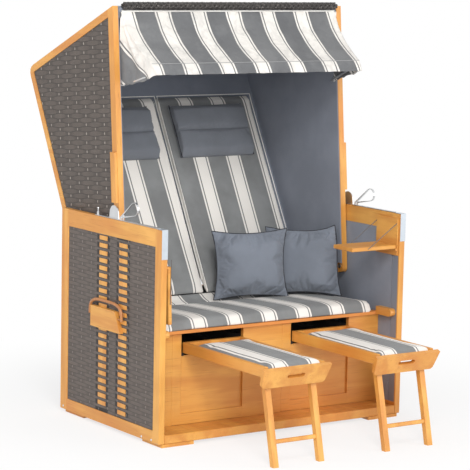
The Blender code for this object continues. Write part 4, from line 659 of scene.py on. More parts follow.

# %% [markdown]
# The band's own surface has fine slanting lines, as if it were twisted from strands, and the
# tone changes a little from band to band. The pale ticks are the stakes. Painted shade darkens
# the grooves between rows, the stretches where a band dips behind a stake, and notches beside
# the bare squares on the sides.

# %% Weave finish
def woven_finish(name, band, dark, light, tick_colour, tick_strength, bulge, shadow_notches=False):
    """Dark bands with slanting strands and pale stake ticks; painted shade darkens the grooves
    between rows and the stretches where a band dips behind a stake, and on the sides dark notches
    of painted shade lie beside the bare squares.
    """
    finish = Finish(name)
    run = finish.node("ShaderNodeAttribute", {"attribute_name": "run"}, out=1)
    u, v, _ = finish.split(run)
    rows_up = bulging_rows(u, v, band, bulge)
    row = rows_up.floor()
    within = (rows_up % 1.0 - 0.5).abs() * 2.0
    side = (row % 2.0) * 2.0 - 1.0
    over = (u * (pi / STAKE_PITCH) + pi / 2).sin() * side
    strand = ((u * 0.9 + v) * (2 * pi / 0.0046)).sin() * 0.5 + 0.5
    tone = finish.noise(finish.join(row * 3.7, u * 6.0, 0.0), 1.0, 2.0)
    soft = finish.noise(finish.place, 40.0, 3.0)
    colour = finish.mix((strand * 0.5 + tone * 0.5) * (0.35 + soft * 0.6), dark, light)
    # Painted shade: darker where a band dips behind a stake, and darker still in the grooves
    # between rows.
    groove_shade = within.smooth(0.72, 1.0)
    behind = over.smooth(0.1, -0.7)
    colour = finish.mix(behind * 0.35, colour, tuple(c * 0.6 for c in dark))
    colour = finish.mix(groove_shade * 0.70, colour, tuple(c * 0.4 for c in dark))
    # Painted shade: dark notches beside each column of bare squares, where the bands pass over the
    # broad stakes.
    if shadow_notches:
        _, y, z = finish.split()
        for middle, lowest in SQUARE_COLUMNS:
            across = (y - (MIDDLE_Y + middle)).abs()
            up = ((z - lowest) / SQUARE_PITCH + 0.5) % 1.0 - 0.5
            notch_shadow = across.smooth(0.053, 0.044) * up.abs().smooth(0.40, 0.28)
            colour = finish.mix(notch_shadow * 0.95, colour, linear(27, 22, 19))
    tick = (from_nearest(u, STAKE_PITCH).smooth(TICK_WIDTH * 0.75, TICK_WIDTH * 0.45)
            * within.smooth(0.86, TICK_SHARE) * over.smooth(0.2, -0.2))
    colour = finish.mix(tick * tick_strength, colour, tick_colour)
    normal = finish.bump(strand, 0.0006, 0.8)
    return finish.done(colour, 0.52 + soft * 0.15, normal)


HOOD_BAND, SIDE_BAND = 0.01775, 0.01475
HOOD_BULGE, SIDE_BULGE = 0.12, 0.04
SQUARE_WIDTH, SQUARE_HEIGHT, SQUARE_PITCH = 0.0600, 0.0168, 0.0298
SQUARE_COLUMNS = ((0.0515, 0.0946), (-0.0985, 0.0826))
HOOD_WEAVE = woven_finish("hood_weave_finish", HOOD_BAND, linear(58, 51, 47), linear(126, 115, 107),
                          linear(176, 167, 158), 0.8, HOOD_BULGE)
SIDE_WEAVE = woven_finish("side_weave_finish", SIDE_BAND, linear(78, 70, 66),
                          linear(126, 115, 107), linear(160, 150, 142), 0.45, SIDE_BULGE, True)
print("weave finishes:", 2)

# %% [markdown]
# A sheet is cut to the outline of its solid: the solid's corners are seen along its outward
# direction, and the grid is trimmed along each edge of their outer hull.

# %% Woven sheets
def flat_hull(points):
    """Corners of the smallest convex outline round some flat points, counterclockwise."""
    ordered = sorted(set(points))
    halves = []
    for run in (ordered, ordered[::-1]):
        chain = []
        for p in run:
            while len(chain) > 1 and ((chain[-1][0] - chain[-2][0]) * (p[1] - chain[-2][1])
                                      - (chain[-1][1] - chain[-2][1]) * (p[0] - chain[-2][0])
                                      ) <= 1e-7:
                chain.pop()
            chain.append(p)
        halves.append(chain[:-1])
    return halves[0] + halves[1]


def woven_sheet(name, node, body, along, up, band, finish, lift, relief=0.0016, step=0.003,
                trim=0.0005, replace=True):
    """A woven sheet on a solid's outer face. along and up are the band's and stakes' ways."""
    along, up = Vector(along).normalized(), Vector(up).normalized()
    outward = along.cross(up)
    corners = [v.co for v in nodes[node].data.vertices]
    level = max(c.dot(outward) for c in corners) + lift
    outline = flat_hull([(round(c.dot(along), 4), round(c.dot(up), 4)) for c in corners])
    us, vs = [p[0] for p in outline], [p[1] for p in outline]
    middle = ((min(us) + max(us)) / 2, (min(vs) + max(vs)) / 2)
    piece = bake(name, WEAVE_TREE, {
        "Width": max(us) - min(us) + 2 * step, "Height": max(vs) - min(vs) + 2 * step,
        "Step": step, "Band": band, "Relief": relief,
        "Bulge": SIDE_BULGE if band == SIDE_BAND else HOOD_BULGE,
        "Start U": middle[0], "Start V": middle[1]}, finish)
    frame_matrix = Matrix((along, up, outward)).transposed().to_4x4()
    offset = along * middle[0] + up * middle[1] + outward * level
    piece.data.transform(Matrix.Translation(offset) @ frame_matrix)
    shape = bmesh.new()
    shape.from_mesh(piece.data)
    for i, p in enumerate(outline):
        q = outline[(i + 1) % len(outline)]
        edge = along * (q[0] - p[0]) + up * (q[1] - p[1])
        if edge.length < 1e-4:
            continue
        out = edge.cross(outward).normalized()
        at = along * p[0] + up * p[1] - out * trim
        bmesh.ops.bisect_plane(shape, geom=shape.verts[:] + shape.edges[:] + shape.faces[:],
                               plane_co=at, plane_no=out, clear_outer=True)
    shape.to_mesh(piece.data)
    shape.free()
    if replace:
        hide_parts(node)
    finished(piece, finish, body)
    print(name, len(piece.data.polygons), "faces")


UP = (0, 0, 1)
LEAN = radians(5)
WALL_LIFT = -0.0016
for side, word in SIDES:
    woven_sheet(f"woven_side_{word}", f"side_weave_{word}", "root", (0, side, 0), UP,
                SIDE_BAND, SIDE_WEAVE, WALL_LIFT, relief=0.0014)
    woven_sheet(f"woven_hood_{word}", f"hood_weave_{word}", "hood",
                (0, side * cos(LEAN), -side * sin(LEAN)), (0, sin(LEAN), cos(LEAN)),
                HOOD_BAND, HOOD_WEAVE, 0.0)
woven_sheet("woven_rear", "rear_weave", "root", (-1, 0, 0), UP, SIDE_BAND, SIDE_WEAVE, WALL_LIFT)

# %% [markdown]
# ## Bare squares
# On each side two broad stakes are left as bare wood. The bands hide them except for a column of
# squares. One small bowed tile is repeated up a column by Geometry Nodes.

# %% Wooden squares
def tile_tree():
    """Tiles at an even pitch along Z, each a rounded box."""
    tree, wires = node_group("wooden_squares", {
        "Width": 0.06, "Height": 0.019, "Thick": 0.002, "Pitch": 0.0295, "Count": 22.0})
    size = add_node(tree, "ShaderNodeCombineXYZ", {}, {
        0: wires["Thick"], 1: wires["Width"], 2: wires["Height"]})
    tile = add_node(tree, "GeometryNodeMeshCube", {}, {
        "Size": size, "Vertices X": 2, "Vertices Y": 7, "Vertices Z": 4})
    x, y, z = split_of(tree, add_node(tree, "GeometryNodeInputPosition"))
    round_y = (y.abs() / wires["Width"] * 2).math("POWER", 10.0)
    round_z = (z.abs() / wires["Height"] * 2).math("POWER", 10.0)
    dip = (round_y + round_z) * wires["Thick"] * -0.12
    offset = add_node(tree, "ShaderNodeCombineXYZ", {}, {0: dip * x.math("SIGN")})
    bowed = add_node(tree, "GeometryNodeSetPosition", {}, {0: tile, "Offset": offset})
    step = add_node(tree, "ShaderNodeCombineXYZ", {}, {2: wires["Pitch"]})
    line = add_node(tree, "GeometryNodeMeshLine", {}, {"Count": wires["Count"], "Offset": step})
    copies = add_node(tree, "GeometryNodeInstanceOnPoints", {}, {
        "Points": line, "Instance": bowed})
    close_group(tree, copies, wires["Material"])
    return tree


TILE_TREE = tile_tree()
side_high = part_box("side_weave_right")[1]
for side, word in SIDES:
    for place, (middle, lowest) in zip(("rear", "front"), SQUARE_COLUMNS):
        count = int((side_high.z - lowest) / SQUARE_PITCH) + 1
        tiles = bake(f"bare_squares_{place}_{word}", TILE_TREE, {
            "Width": SQUARE_WIDTH, "Height": SQUARE_HEIGHT, "Thick": 0.0050,
            "Pitch": SQUARE_PITCH, "Count": float(count)}, WOOD_Z)
        tiles.data.transform(Matrix.Translation((side * (side_high.x + WALL_LIFT),
                                                 MIDDLE_Y + middle, lowest)))
        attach(tiles, "root")
        print(tiles.name, count)

# %% [markdown]
# ## Dressing the solids
# Timber, steel and boards already have their true shapes, so each gets the finish whose grain
# follows it.

# %% Finishes on the frame
def dress(finish, *names):
    """Give solids one finish."""
    for name in names:
        nodes[name].data.materials.clear()
        nodes[name].data.materials.append(finish)


def both(*stems):
    """Left and right names of some stems."""
    return [f"{stem}_{word}" for stem in stems for _, word in SIDES]


dress(WOOD_SIDE, *both("side_frame"))
dress(WOOD_Z, *both("footrest_legs"))
dress(CANE, *both("carry_bail"))
dress(WOOD_Y, *both("seat_rail", "table_backing", "footrest_tray", "carry_block"), "slatted_floor")
dress(WOOD_X, "carcass_front", *both("side_table"))
dress(WOOD_REAR_SHADED_INSIDE, "rear_frame")
# Painted shade under the seat: near-black drawer cases and the seat board's rear part.
dress(WOOD_PAINTED_SHADE, *both("drawer_case"))
dress(WOOD_SEAT_PAINTED_SHADE, "seat_board")
dress(SLATE_WALL, *both("side_lining", "hood_lining"), "hood_roof", "hood_back")
dress(STEEL, *both("lock_plate", "lock_pin", "lock_bow", "pivot_bolt"), "awning_bow")
dress(STEEL_DARK, *both("table_stays"))
dress(GUARD_STEEL, *both("corner_guard"))
print("solids dressed")

# %% [markdown]
# The hood's sides are a frame of a front post, a roof bar, a rear bar and a low bar. One finish
# covers all: its grain stands upright near the front post and runs from front to back elsewhere.

# %% Hood timber
def hood_posts(finish):
    """1 near the hood's front post, whose grain stands upright."""
    _, y, z = finish.split()
    front = (z - 0.575) * tan(LEAN) - 0.039 + MIDDLE_Y
    return (y - front).smooth(0.040, 0.036)


WOOD_HOOD = wood("oiled_wood_hood", 1, 2, hood_posts)
dress(WOOD_HOOD, *both("hood_side"))

# %% [markdown]
# ## Stuffed pieces
# A cushion is two cloth faces sewn at their edges and filled. Its solid is drawn in a little,
# turned into an even skin of small squares and blown up by Blender's Cloth, with the pressure of
# a filling and no gravity. Points on a seam are held, no point may move further than a cap, and
# the skin stops where the cushion lies against a board or another cushion.

# %% Blowing up a cushion
def skin_of(name, node, shrink):
    """A solid's own mesh as one closed skin, a little smaller."""
    shape = bmesh.new()
    shape.from_mesh(nodes[node].data)
    bmesh.ops.remove_doubles(shape, verts=shape.verts[:], dist=1e-5)
    low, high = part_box(node)
    middle, half = (low + high) / 2, (high - low) / 2
    for v in shape.verts:
        v.co = middle + Vector([(v.co[i] - middle[i]) * (1 - shrink / half[i])
                                for i in range(3)])
    piece = new_piece(name, bpy.data.meshes.new(name))
    shape.to_mesh(piece.data)
    shape.free()
    return piece


def fill_up(piece, pressure, growth, hold):
    """Twenty frames of cloth under the pressure of a filling."""
    settings = piece.modifiers.new("filling", "CLOTH").settings
    settings.use_pressure = True
    settings.uniform_pressure_force = pressure
    settings.effector_weights.gravity = 0
    settings.shrink_min = -growth
    if hold:
        sewn = piece.vertex_groups.new(name="sewn")
        for i, v in enumerate(piece.data.vertices):
            if hold(v.co) > 0:
                sewn.add([i], hold(v.co), "REPLACE")
        settings.vertex_group_mass = "sewn"
    for frame_number in range(1, 21):
        scene.frame_set(frame_number)
    work_in(piece)
    scene.frame_set(1)
    piece.vertex_groups.clear()


def stuffed(name, node, body, finish, voxel=0.009, shrink=0.004, pressure=4.0, growth=0.0,
            cap=0.010, walls=(), mold=None, hold=None, after=None):
    """A filled cushion in place of a solid."""
    piece = skin_of(name, node, shrink)
    remesh = piece.modifiers.new("skin", "REMESH")
    remesh.mode, remesh.voxel_size = "VOXEL", voxel
    work_in(piece)
    if mold:
        for v in piece.data.vertices:
            v.co = mold(v.co)
    start = [v.co.copy() for v in piece.data.vertices]
    fill_up(piece, pressure, growth, hold)
    stops = []
    for direction, room in walls:
        direction = Vector(direction).normalized()
        reach = max(v.co.dot(direction) for v in nodes[node].data.vertices) + room
        stops.append((direction, reach))
    for v, before in zip(piece.data.vertices, start):
        move = v.co - before
        v.co = before + move * (cap / hypot(cap, move.length))
        for direction, reach in stops:
            over = v.co.dot(direction) - reach
            if over > 0:
                v.co -= direction * over
        if after:
            v.co = after(v.co)
    smoothed(piece)
    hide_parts(node)
    finished(piece, finish, body)
    low, high = [Vector([f(v.co[i] for v in piece.data.vertices) for i in range(3)])
                 for f in (min, max)]
    print(name, len(piece.data.polygons), "faces", [round(c, 3) for c in (*low, *high)])


def cord_of(name, points, radius, body, finish, closed=False, sides=2):
    """A thin round piping or seam along a path."""
    curve = bpy.data.curves.new(name, "CURVE")
    curve.dimensions, curve.bevel_depth, curve.bevel_resolution = "3D", radius, sides
    curve.use_fill_caps = True
    path = curve.splines.new("POLY")
    path.points.add(len(points) - 1)
    for target, point in zip(path.points, points):
        target.co = (*point, 1)
    path.use_cyclic_u = closed
    line = new_piece(name, curve)
    mesh = made_mesh(line)
    bpy.data.objects.remove(line)
    return finished(new_piece(name, mesh), finish, body)


print("stuffing helpers ready")

# %% [markdown]
# The seat cushion is one firm block across both seats. It lies flat on the board and rolls over
# its front edge. Its stripes run from front to back.

# %% Seat cushion
SEAT_FALL = 0.052
seat_low, seat_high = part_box("seat_cushion")


def seat_top(y):
    """Height of the seat cushion's solid at one depth."""
    return seat_high.z - (y - seat_low.y - 0.020) * SEAT_FALL


def over_the_edge(co):
    """The front's lower half swells forward and hangs over the board's edge."""
    near = min(1, max(0, (seat_low.y + 0.026 - co.y) / 0.010))
    low = min(1, max(0, (seat_top(co.y) - 0.020 - co.z) / 0.020))
    share = near * low
    face = seat_low.y - 0.0045
    return Vector((co.x, co.y + (face - co.y) * share, co.z - 0.0125 * share * low))


stuffed("striped_seat_cushion", "seat_cushion", "root", STRIPED_SEAT, cap=0.007,
        walls=(((0, -SEAT_FALL, -1), 0.0), ((1, 0, 0), 0.004), ((-1, 0, 0), 0.004),
               ((0, 1, 0), 0.0)), after=over_the_edge)

# %% [markdown]
# Behind the block the same cloth rises in a soft roll to the foot of the back cushions. When the
# hood reclines, their lower edge swings forward and presses this roll flat.

# %% Seat's rear roll
ROLL_PROFILE = ((0.2010, 0.4412), (0.2080, 0.4438), (0.2180, 0.4458), (0.2300, 0.4488),
                (0.2430, 0.4542), (0.2540, 0.4608), (0.2620, 0.4656), (0.2690, 0.4668),
                (0.2755, 0.4640), (0.2780, 0.4540), (0.2740, 0.4380), (0.2620, 0.4285),
                (0.2400, 0.4245), (0.2220, 0.4235), (0.2145, 0.4265), (0.2120, 0.4340),
                (0.2070, 0.4385))
ROLL_HALF, ROLL_END, ROLL_STEPS = 0.4820, 0.012, 96
roll_middle = sum((Vector(p) for p in ROLL_PROFILE), Vector((0, 0))) / len(ROLL_PROFILE)
ring = len(ROLL_PROFILE)
roll_points = []
for i in range(ROLL_STEPS + 1):
    x = -ROLL_HALF + 2 * ROLL_HALF * i / ROLL_STEPS
    near = min(1.0, (ROLL_HALF - abs(x)) / ROLL_END)
    size = 0.35 + 0.65 * (1 - (1 - near) ** 2) ** 0.5
    for p in ROLL_PROFILE:
        y, z = roll_middle.lerp(Vector(p), size)
        roll_points.append((x, y, z))
faces = [(i * ring + k, i * ring + (k + 1) % ring, (i + 1) * ring + (k + 1) % ring,
          (i + 1) * ring + k) for i in range(ROLL_STEPS) for k in range(ring)]
faces += [tuple(range(ring))[::-1], tuple(ROLL_STEPS * ring + k for k in range(ring))]
roll = new_piece("striped_seat_roll", built("striped_seat_roll", roll_points, faces))
facing_out(roll.data)
smoothed(roll)
finished(roll, STRIPED_SEAT, "root")
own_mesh(roll)
print("rear roll", len(roll.data.polygons), "faces")

# %% [markdown]
# Each half of the back cushion leans on the hood's back and reclines with it. The halves meet in
# the middle, so their inner edges stay flat against each other.

# %% Back cushions
BACK_LEAN = radians(28.5)
HOOD_BACK_LEAN = atan2(0.5245, 1)
for side, word in SIDES:
    stuffed(f"striped_back_{word}", f"back_cushion_{word}", "hood", STRIPED_BACK[word],
            shrink=0.0015, cap=0.006,
            walls=(((0, cos(HOOD_BACK_LEAN), -sin(HOOD_BACK_LEAN)), 0.0),
                   ((-side, 0, 0), 0.0), ((side, 0, 0), 0.003)))

# %% [markdown]
# The neck pillows hang over the back cushions. A seam across the middle parts each into two soft
# rolls: the seam's points are drawn in first and held while the rolls fill.

# %% Neck pillows
SLAB_UP = Vector((0, sin(BACK_LEAN), cos(BACK_LEAN)))
SLAB_OUT = Vector((0, -cos(BACK_LEAN), sin(BACK_LEAN)))
neck_low, neck_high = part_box("neck_pillow_right")
neck_corners = [v.co for v in nodes["neck_pillow_right"].data.vertices]
neck_ends = [f(c.dot(SLAB_UP) for c in neck_corners) for f in (min, max)]
neck_faces = [f(c.dot(SLAB_OUT) for c in neck_corners) for f in (min, max)]
NECK_SEAM = (neck_ends[0] + neck_ends[1]) / 2
SEAM_WIDTH, SEAM_DEPTH = 0.014, 0.010
NECK_SHORTER = {"left": 0.030, "right": 0.0}


def draw_in(co):
    """The seam lies deeper than the rolls' tops."""
    near = 1 - min(1, abs(co.dot(SLAB_UP) - NECK_SEAM) / SEAM_WIDTH)
    front = (co.dot(SLAB_OUT) - neck_faces[0]) / (neck_faces[1] - neck_faces[0])
    return co - SLAB_OUT * (SEAM_DEPTH * near * near * max(0.0, front))


def on_seam(co):
    """1 at the seam across the front."""
    return 1.0 if abs(co.dot(SLAB_UP) - NECK_SEAM) < 0.004 else 0.0


def placed(co, word):
    """The left neck pillow ends further from the middle, so that the white band beside it shows."""
    share = (neck_high.x - abs(co.x)) / (neck_high.x - neck_low.x)
    side = 1 if co.x > 0 else -1
    return draw_in(Vector((co.x + side * NECK_SHORTER[word] * share, co.y, co.z)))


for _, word in SIDES:
    stuffed(f"neck_roll_{word}", f"neck_pillow_{word}", "hood", SLATE, voxel=0.005, cap=0.005,
            shrink=0.001, growth=0.03,
            mold=lambda co, word=word: placed(co, word), hold=on_seam,
            walls=((-SLAB_OUT, 0.0),))

# %% [markdown]
# Two square pillows stand on the seat. Their four edges are sewn, so they stay where they are,
# and the corners keep their points. The cloth is cut a little larger than the filling needs,
# which gives the creases that run in from the seams.

# %% Throw pillows
PILLOW_HALF, PILLOW_TALL, PILLOW_LEAN = 0.1625, 0.1425, radians(6)
PILLOW_PLACES = (("left", (0.157, 0.093), 16.0), ("right", (0.389, 0.049), 47.0))
SIDE_PULL, TOP_PULL, TURNED_CORNER = 0.012, 0.010, (0.030, 0.010)
RIM_CORNERS = ((-1, -1, 1, 0), (1, -1, 0, 1), (1, 1, -1, 0), (-1, 1, 0, -1))
for word, place, turn in PILLOW_PLACES:
    foot = Vector((place[0], place[1] + MIDDLE_Y, 0))
    foot.z = seat_top(foot.y) + 0.0006
    roll = atan2(SEAT_FALL * sin(radians(turn)), 1)
    stand = (Matrix.Translation(foot) @ Matrix.Rotation(-radians(turn), 4, "Z")
             @ Matrix.Rotation(-roll, 4, "Y") @ Matrix.Rotation(-PILLOW_LEAN, 4, "X")
             @ Matrix.Translation((0, 0, PILLOW_TALL)))
    back = stand.inverted()

    def pinched(co, stand=stand, back=back, word=word):
        """Sides pull in between the corners, and the corners keep their points."""
        local = back @ co
        u, v = local.x / PILLOW_HALF, local.z / PILLOW_TALL
        local.x -= SIDE_PULL * u * (1 - v * v)
        local.z -= TOP_PULL * v * (1 - u * u)
        if word == "right" and u > 0 and v > 0:
            local.x -= TURNED_CORNER[0] * u * u * v * v
            local.z += TURNED_CORNER[1] * u * u * v * v
        return stand @ local

    def rim_share(co):
        """1 on the sewn rim, 0 inside."""
        local = back @ co
        u, v = abs(local.x) / PILLOW_HALF, abs(local.z) / PILLOW_TALL
        edge_u, edge_v = 1 - 0.12 * (1 - min(1, v) ** 2), 1 - 0.12 * (1 - min(1, u) ** 2)
        return 1.0 if max(u / edge_u, v / edge_v) > 0.955 else 0.0

    stuffed(f"slate_pillow_{word}", f"throw_pillow_{word}", "root", SLATE_PILLOW, voxel=0.005,
            shrink=0.0, pressure=5.0, growth=0.09, cap=0.016, mold=pinched, hold=rim_share)
    rim = []
    for start_u, start_v, step_u, step_v in RIM_CORNERS:
        for i in range(24):
            u, v = start_u + step_u * i / 12, start_v + step_v * i / 12
            rim.append(pinched(stand @ Vector((PILLOW_HALF * u * (1 - 0.05 * (1 - v * v)), 0,
                                               PILLOW_TALL * v * (1 - 0.05 * (1 - u * u))))))
    rim = [p + Vector((0, 0, max(0.0, seat_top(p.y) + 0.003 - p.z))) for p in rim]
    cord_of(f"pillow_piping_{word}", rim, 0.0026, "root", PIPING_DARK, closed=True)

# %% [markdown]
# The footrests carry thin pads on their slats, crowned above the rails.

# %% Footrest pads
RAIL_REACH, RAIL_RISE, RAIL_SHARE = 0.0185, 0.0155, 0.93
for _, word in SIDES:
    pad_low, pad_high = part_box(f"footrest_pad_{word}")

    def over_the_rail(co, pad_low=pad_low, pad_high=pad_high):
        """The pad's right edge lies over the tray's rail."""
        share = (co.x - pad_low.x) / (pad_high.x - pad_low.x)
        lift = min(1, max(0.0, share - RAIL_SHARE) / (1 - RAIL_SHARE))
        return Vector((co.x + RAIL_REACH * share, co.y, max(co.z, pad_low.z + RAIL_RISE * lift)))

    stuffed(f"striped_pad_{word}", f"footrest_pad_{word}", f"footrest_{word}", STRIPED_PAD[word],
            voxel=0.005, shrink=0.0005, pressure=6.0, cap=0.012, after=over_the_rail,
            walls=(((0, 0, -1), 0.0), ((1, 0, 0), 0.0), ((-1, 0, 0), 0.0)))

# %% [markdown]
# ## Awning
# One width of striped cloth hangs from the roof's front edge over a steel bow. It sags between
# the two, so its slope flattens towards the bow, and a narrow valance hangs below a sewn line.
# At both ends the same cloth goes round the corner and back to the post as a loose cheek. The
# sheet is made point by point: the slope's profile gives each row, and each row goes on over the
# cheeks. The attribute `run` stores how far round the cloth a point lies, for the stripes.

# %% Awning
AWNING_PROFILE = ((0.0510, 1.6285), (0.0400, 1.6040), (0.0140, 1.5600), (-0.0320, 1.5120),
                  (-0.0880, 1.4680), (-0.1380, 1.4350), (-0.1530, 1.4150), (-0.1640, 1.3940))
CHEEK_TOP, CHEEK_LOW = (0.0440, 1.6270), (0.0520, 1.3370)
CORNER_TOP, CORNER_LEFT, CORNER_RIGHT = 0.5170, -0.4740, 0.5020
AWNING_ROWS, SLOPE_COLUMNS, CHEEK_COLUMNS = 56, 150, 28


def along_path(points, share):
    """A place on a broken line, by its share of the points' order."""
    at = share * (len(points) - 1)
    i = min(int(at), len(points) - 2)
    return Vector(points[i]).lerp(Vector(points[i + 1]), at - i)


def smooth_profile(share):
    """The slope's profile, rounded by averaging nearby places."""
    parts = [along_path(AWNING_PROFILE, min(1, max(0, share + d * 0.03)))
             for d in (-1, -0.5, 0, 0.5, 1)]
    return sum(parts, Vector((0, 0))) / 5


FOLD_SHARE = 5 / 7


def side_edge(share, side):
    """The corner line between the slope and one cheek."""
    y, z = smooth_profile(share)
    end = CORNER_LEFT if side < 0 else CORNER_RIGHT
    x = side * CORNER_TOP + (end - side * CORNER_TOP) * share
    return Vector((x, y + MIDDLE_Y, z))


def cheek_point(share, side, back):
    """A place on a cheek: back is 0 at the corner line and 1 at the post."""
    edge = side_edge(share, side)
    y = CHEEK_TOP[0] + (CHEEK_LOW[0] - CHEEK_TOP[0]) * share
    z = CHEEK_TOP[1] + (CHEEK_LOW[1] - CHEEK_TOP[1]) * share
    post = Vector((side * 0.5195, y + MIDDLE_Y, z))
    point = edge.lerp(post, back)
    slack = sin(pi * back) * share
    fold = sin(back * 9.0 + share * 3.0) * 0.5 + sin(back * 17.0 - share * 5.0) * 0.3
    point.x += -side * slack * (0.004 + 0.014 * (fold + 0.8))
    point.z -= slack * 0.006
    point.z += 0.0050 * abs(sin(back * 13.0)) * max(0.0, share - 0.9) * 10
    return point


def slope_point(share, across):
    """A place on the slope: across runs from 0 at the left corner to 1 at the right."""
    left, right = side_edge(share, -1), side_edge(share, 1)
    point = left.lerp(right, across)
    loose = sin(pi * across) ** 0.5 * sin(pi * min(1.0, share / FOLD_SHARE))
    ripple = (sin(across * 41 + share * 9) * 0.4 + sin(across * 23 - share * 14 + 1.3) * 0.4
              + sin(across * 71 + share * 21) * 0.2)
    point += Vector((0, -0.5, 0.85)) * (max(0.0, loose) * 0.0050 * ripple)
    point.z -= max(0.0, loose) * 0.006
    below = max(0.0, share - FOLD_SHARE) / (1 - FOLD_SHARE)
    point.y += 0.0042 * sin(across * 60) * below + 0.0022 * sin(across * 131 + 2) * below
    return point


rows, runs = [], []
corner_lines = {side: [side_edge(i / 40, side) for i in range(41)] for side, _ in SIDES}


def beyond_corner(point, side):
    """Distance from a cheek's point to the corner line."""
    best = 9.0
    for a, b in zip(corner_lines[side], corner_lines[side][1:]):
        share = max(0.0, min(1.0, (point - a).dot(b - a) / (b - a).length_squared))
        best = min(best, (point - a.lerp(b, share)).length)
    return best


def round_corner(corner_run, distance, side):
    """The cloth's place past the corner, where the white band is seamed broad."""
    white_end = side * (3 * STRIPE_PITCH + 0.0245)
    seam = 0.055
    if distance < seam:
        return corner_run + (white_end - corner_run) * distance / seam
    return white_end + side * (distance - seam)


for r in range(AWNING_ROWS + 1):
    share = r / AWNING_ROWS
    shift = 0.008 + 0.013 * share
    row, run = [], []
    for c in range(CHEEK_COLUMNS):
        point = cheek_point(share, -1, 1 - c / CHEEK_COLUMNS)
        row.append(point)
        run.append(round_corner(side_edge(share, -1).x - shift, beyond_corner(point, -1), -1))
    for c in range(SLOPE_COLUMNS + 1):
        point = slope_point(share, c / SLOPE_COLUMNS)
        row.append(point)
        run.append(point.x - shift)
    for c in range(1, CHEEK_COLUMNS + 1):
        point = cheek_point(share, 1, c / CHEEK_COLUMNS)
        row.append(point)
        run.append(round_corner(side_edge(share, 1).x - shift, beyond_corner(point, 1), 1))
    rows.append(row)
    runs.append(run)

mesh = built("striped_awning", [p for row in rows for p in row],
             grid_faces(AWNING_ROWS, len(rows[0]) - 1), [(u, 0, 0) for run in runs for u in run])
awning = new_piece("striped_awning", mesh)
thickened(awning, 0.0010)

# %% [markdown]
# The stripes read the stored run, so they follow the cloth round both corners. Painted shade
# darkens the cloth along its creases and in soft blotches.

# %% Awning cloth
def run_of(finish):
    """How far round the cloth a point lies."""
    return finish.split(finish.node("ShaderNodeAttribute", {"attribute_name": "run"}, out=1))[0]


STRIPED_AWNING = striped_cloth("striped_awning_cloth", x_of=run_of, crease_depth=0.030,
                               crease_share=0.6, crease_shade=0.24)
finished(awning, STRIPED_AWNING)
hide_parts("awning_fabric")
awning_start = side_edge(0.05, 1)
awning_end = side_edge(0.80, 1)
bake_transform(awning)

# %% [markdown]
# A pale piping closes the awning's top under the braid, and a thin row of stitches marks the
# valance.

# %% Awning trim
top_line = [Vector((x * 0.01, 0.0485 + MIDDLE_Y, 1.6300)) for x in range(-51, 52)]
cord_of("awning_piping", top_line, 0.0034, "hood", PIPING_PALE)
fold_line = [slope_point(FOLD_SHARE, i / 100) + Vector((0, -0.0008, 0.0012)) for i in range(101)]
cord_of("awning_stitches", fold_line, 0.0011, "awning_bow", PIPING_GREY)

# %% [markdown]
# ## Braided roll
# The roof's front edge is bound with the same flat bands, plaited round a core. Strands wind
# round the core both ways and cross in small diamonds. Geometry Nodes wind one strand and repeat
# it round the axis.

# %% Braid
def braid_tree():
    """Strands wound round the Z axis, evenly spaced."""
    tree, wires = node_group("braid", {"Length": 1.0, "Radius": 0.0128, "Strand": 0.0030,
                                       "Turns": 20.0, "Count": 5.0, "Way": 1.0})
    spiral = add_node(tree, "GeometryNodeCurveSpiral", {}, {
        "Resolution": 14, "Rotations": wires["Turns"], "Start Radius": wires["Radius"],
        "End Radius": wires["Radius"], "Height": wires["Length"]})
    ring = add_node(tree, "GeometryNodeCurvePrimitiveCircle", {}, {
        "Resolution": 6, "Radius": wires["Strand"]})
    strand = add_node(tree, "GeometryNodeCurveToMesh", {}, {
        "Curve": spiral, "Profile Curve": ring, "Fill Caps": True})
    mirror = add_node(tree, "ShaderNodeCombineXYZ", {}, {0: wires["Way"], 1: 1.0, 2: 1.0})
    line = add_node(tree, "GeometryNodeMeshLine", {}, {"Count": wires["Count"],
                                                            "Offset": (0.0, 0.0, 0.0)})
    index = add_node(tree, "GeometryNodeInputIndex")
    turn = add_node(tree, "ShaderNodeCombineXYZ", {}, {
        2: index * (2 * pi) / wires["Count"]})
    copies = add_node(tree, "GeometryNodeInstanceOnPoints", {}, {
        "Points": line, "Instance": strand, "Rotation": turn, "Scale": mirror})
    close_group(tree, copies, wires["Material"])
    return tree


def braid_finish():
    """Dark plaited bands with a few pale fibres."""
    finish = Finish("braid_finish")
    speck = finish.noise(finish.place, 260.0, 2.0).smooth(0.60, 0.70)
    tone = finish.noise(finish.place, 60.0, 2.0)
    base = finish.mix(tone, linear(24, 22, 21), linear(54, 49, 46))
    return finish.done(finish.mix(speck * 0.6, base, linear(176, 168, 160)), 0.42,
                       finish.bump(tone, 0.0006, 0.5))


BRAID = braid_finish()
BRAID_TREE = braid_tree()
roll_low, roll_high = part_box("braid_roll")
middle_y, middle_z = (roll_low.y + roll_high.y) / 2, (roll_low.z + roll_high.z) / 2
lay_along_x = (Matrix.Translation((roll_low.x, middle_y, middle_z))
               @ Matrix.Rotation(pi / 2, 4, "Y"))
for word, way in (("forward", 1.0), ("backward", -1.0)):
    strands = bake(f"braid_strands_{word}", BRAID_TREE, {
        "Length": roll_high.x - roll_low.x, "Radius": 0.0108, "Strand": 0.0052, "Turns": 15.0,
        "Count": 3.0, "Way": way}, BRAID)
    strands.data.transform(lay_along_x)
    facing_out(strands.data)
    finished(strands, BRAID, "hood")
    print(strands.name, len(strands.data.polygons))
core = cord_of("braid_core", [(roll_low.x + 0.002, middle_y, middle_z),
                              (roll_high.x - 0.002, middle_y, middle_z)], 0.0098, "hood", BRAID,
               sides=4)
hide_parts("braid_roll")

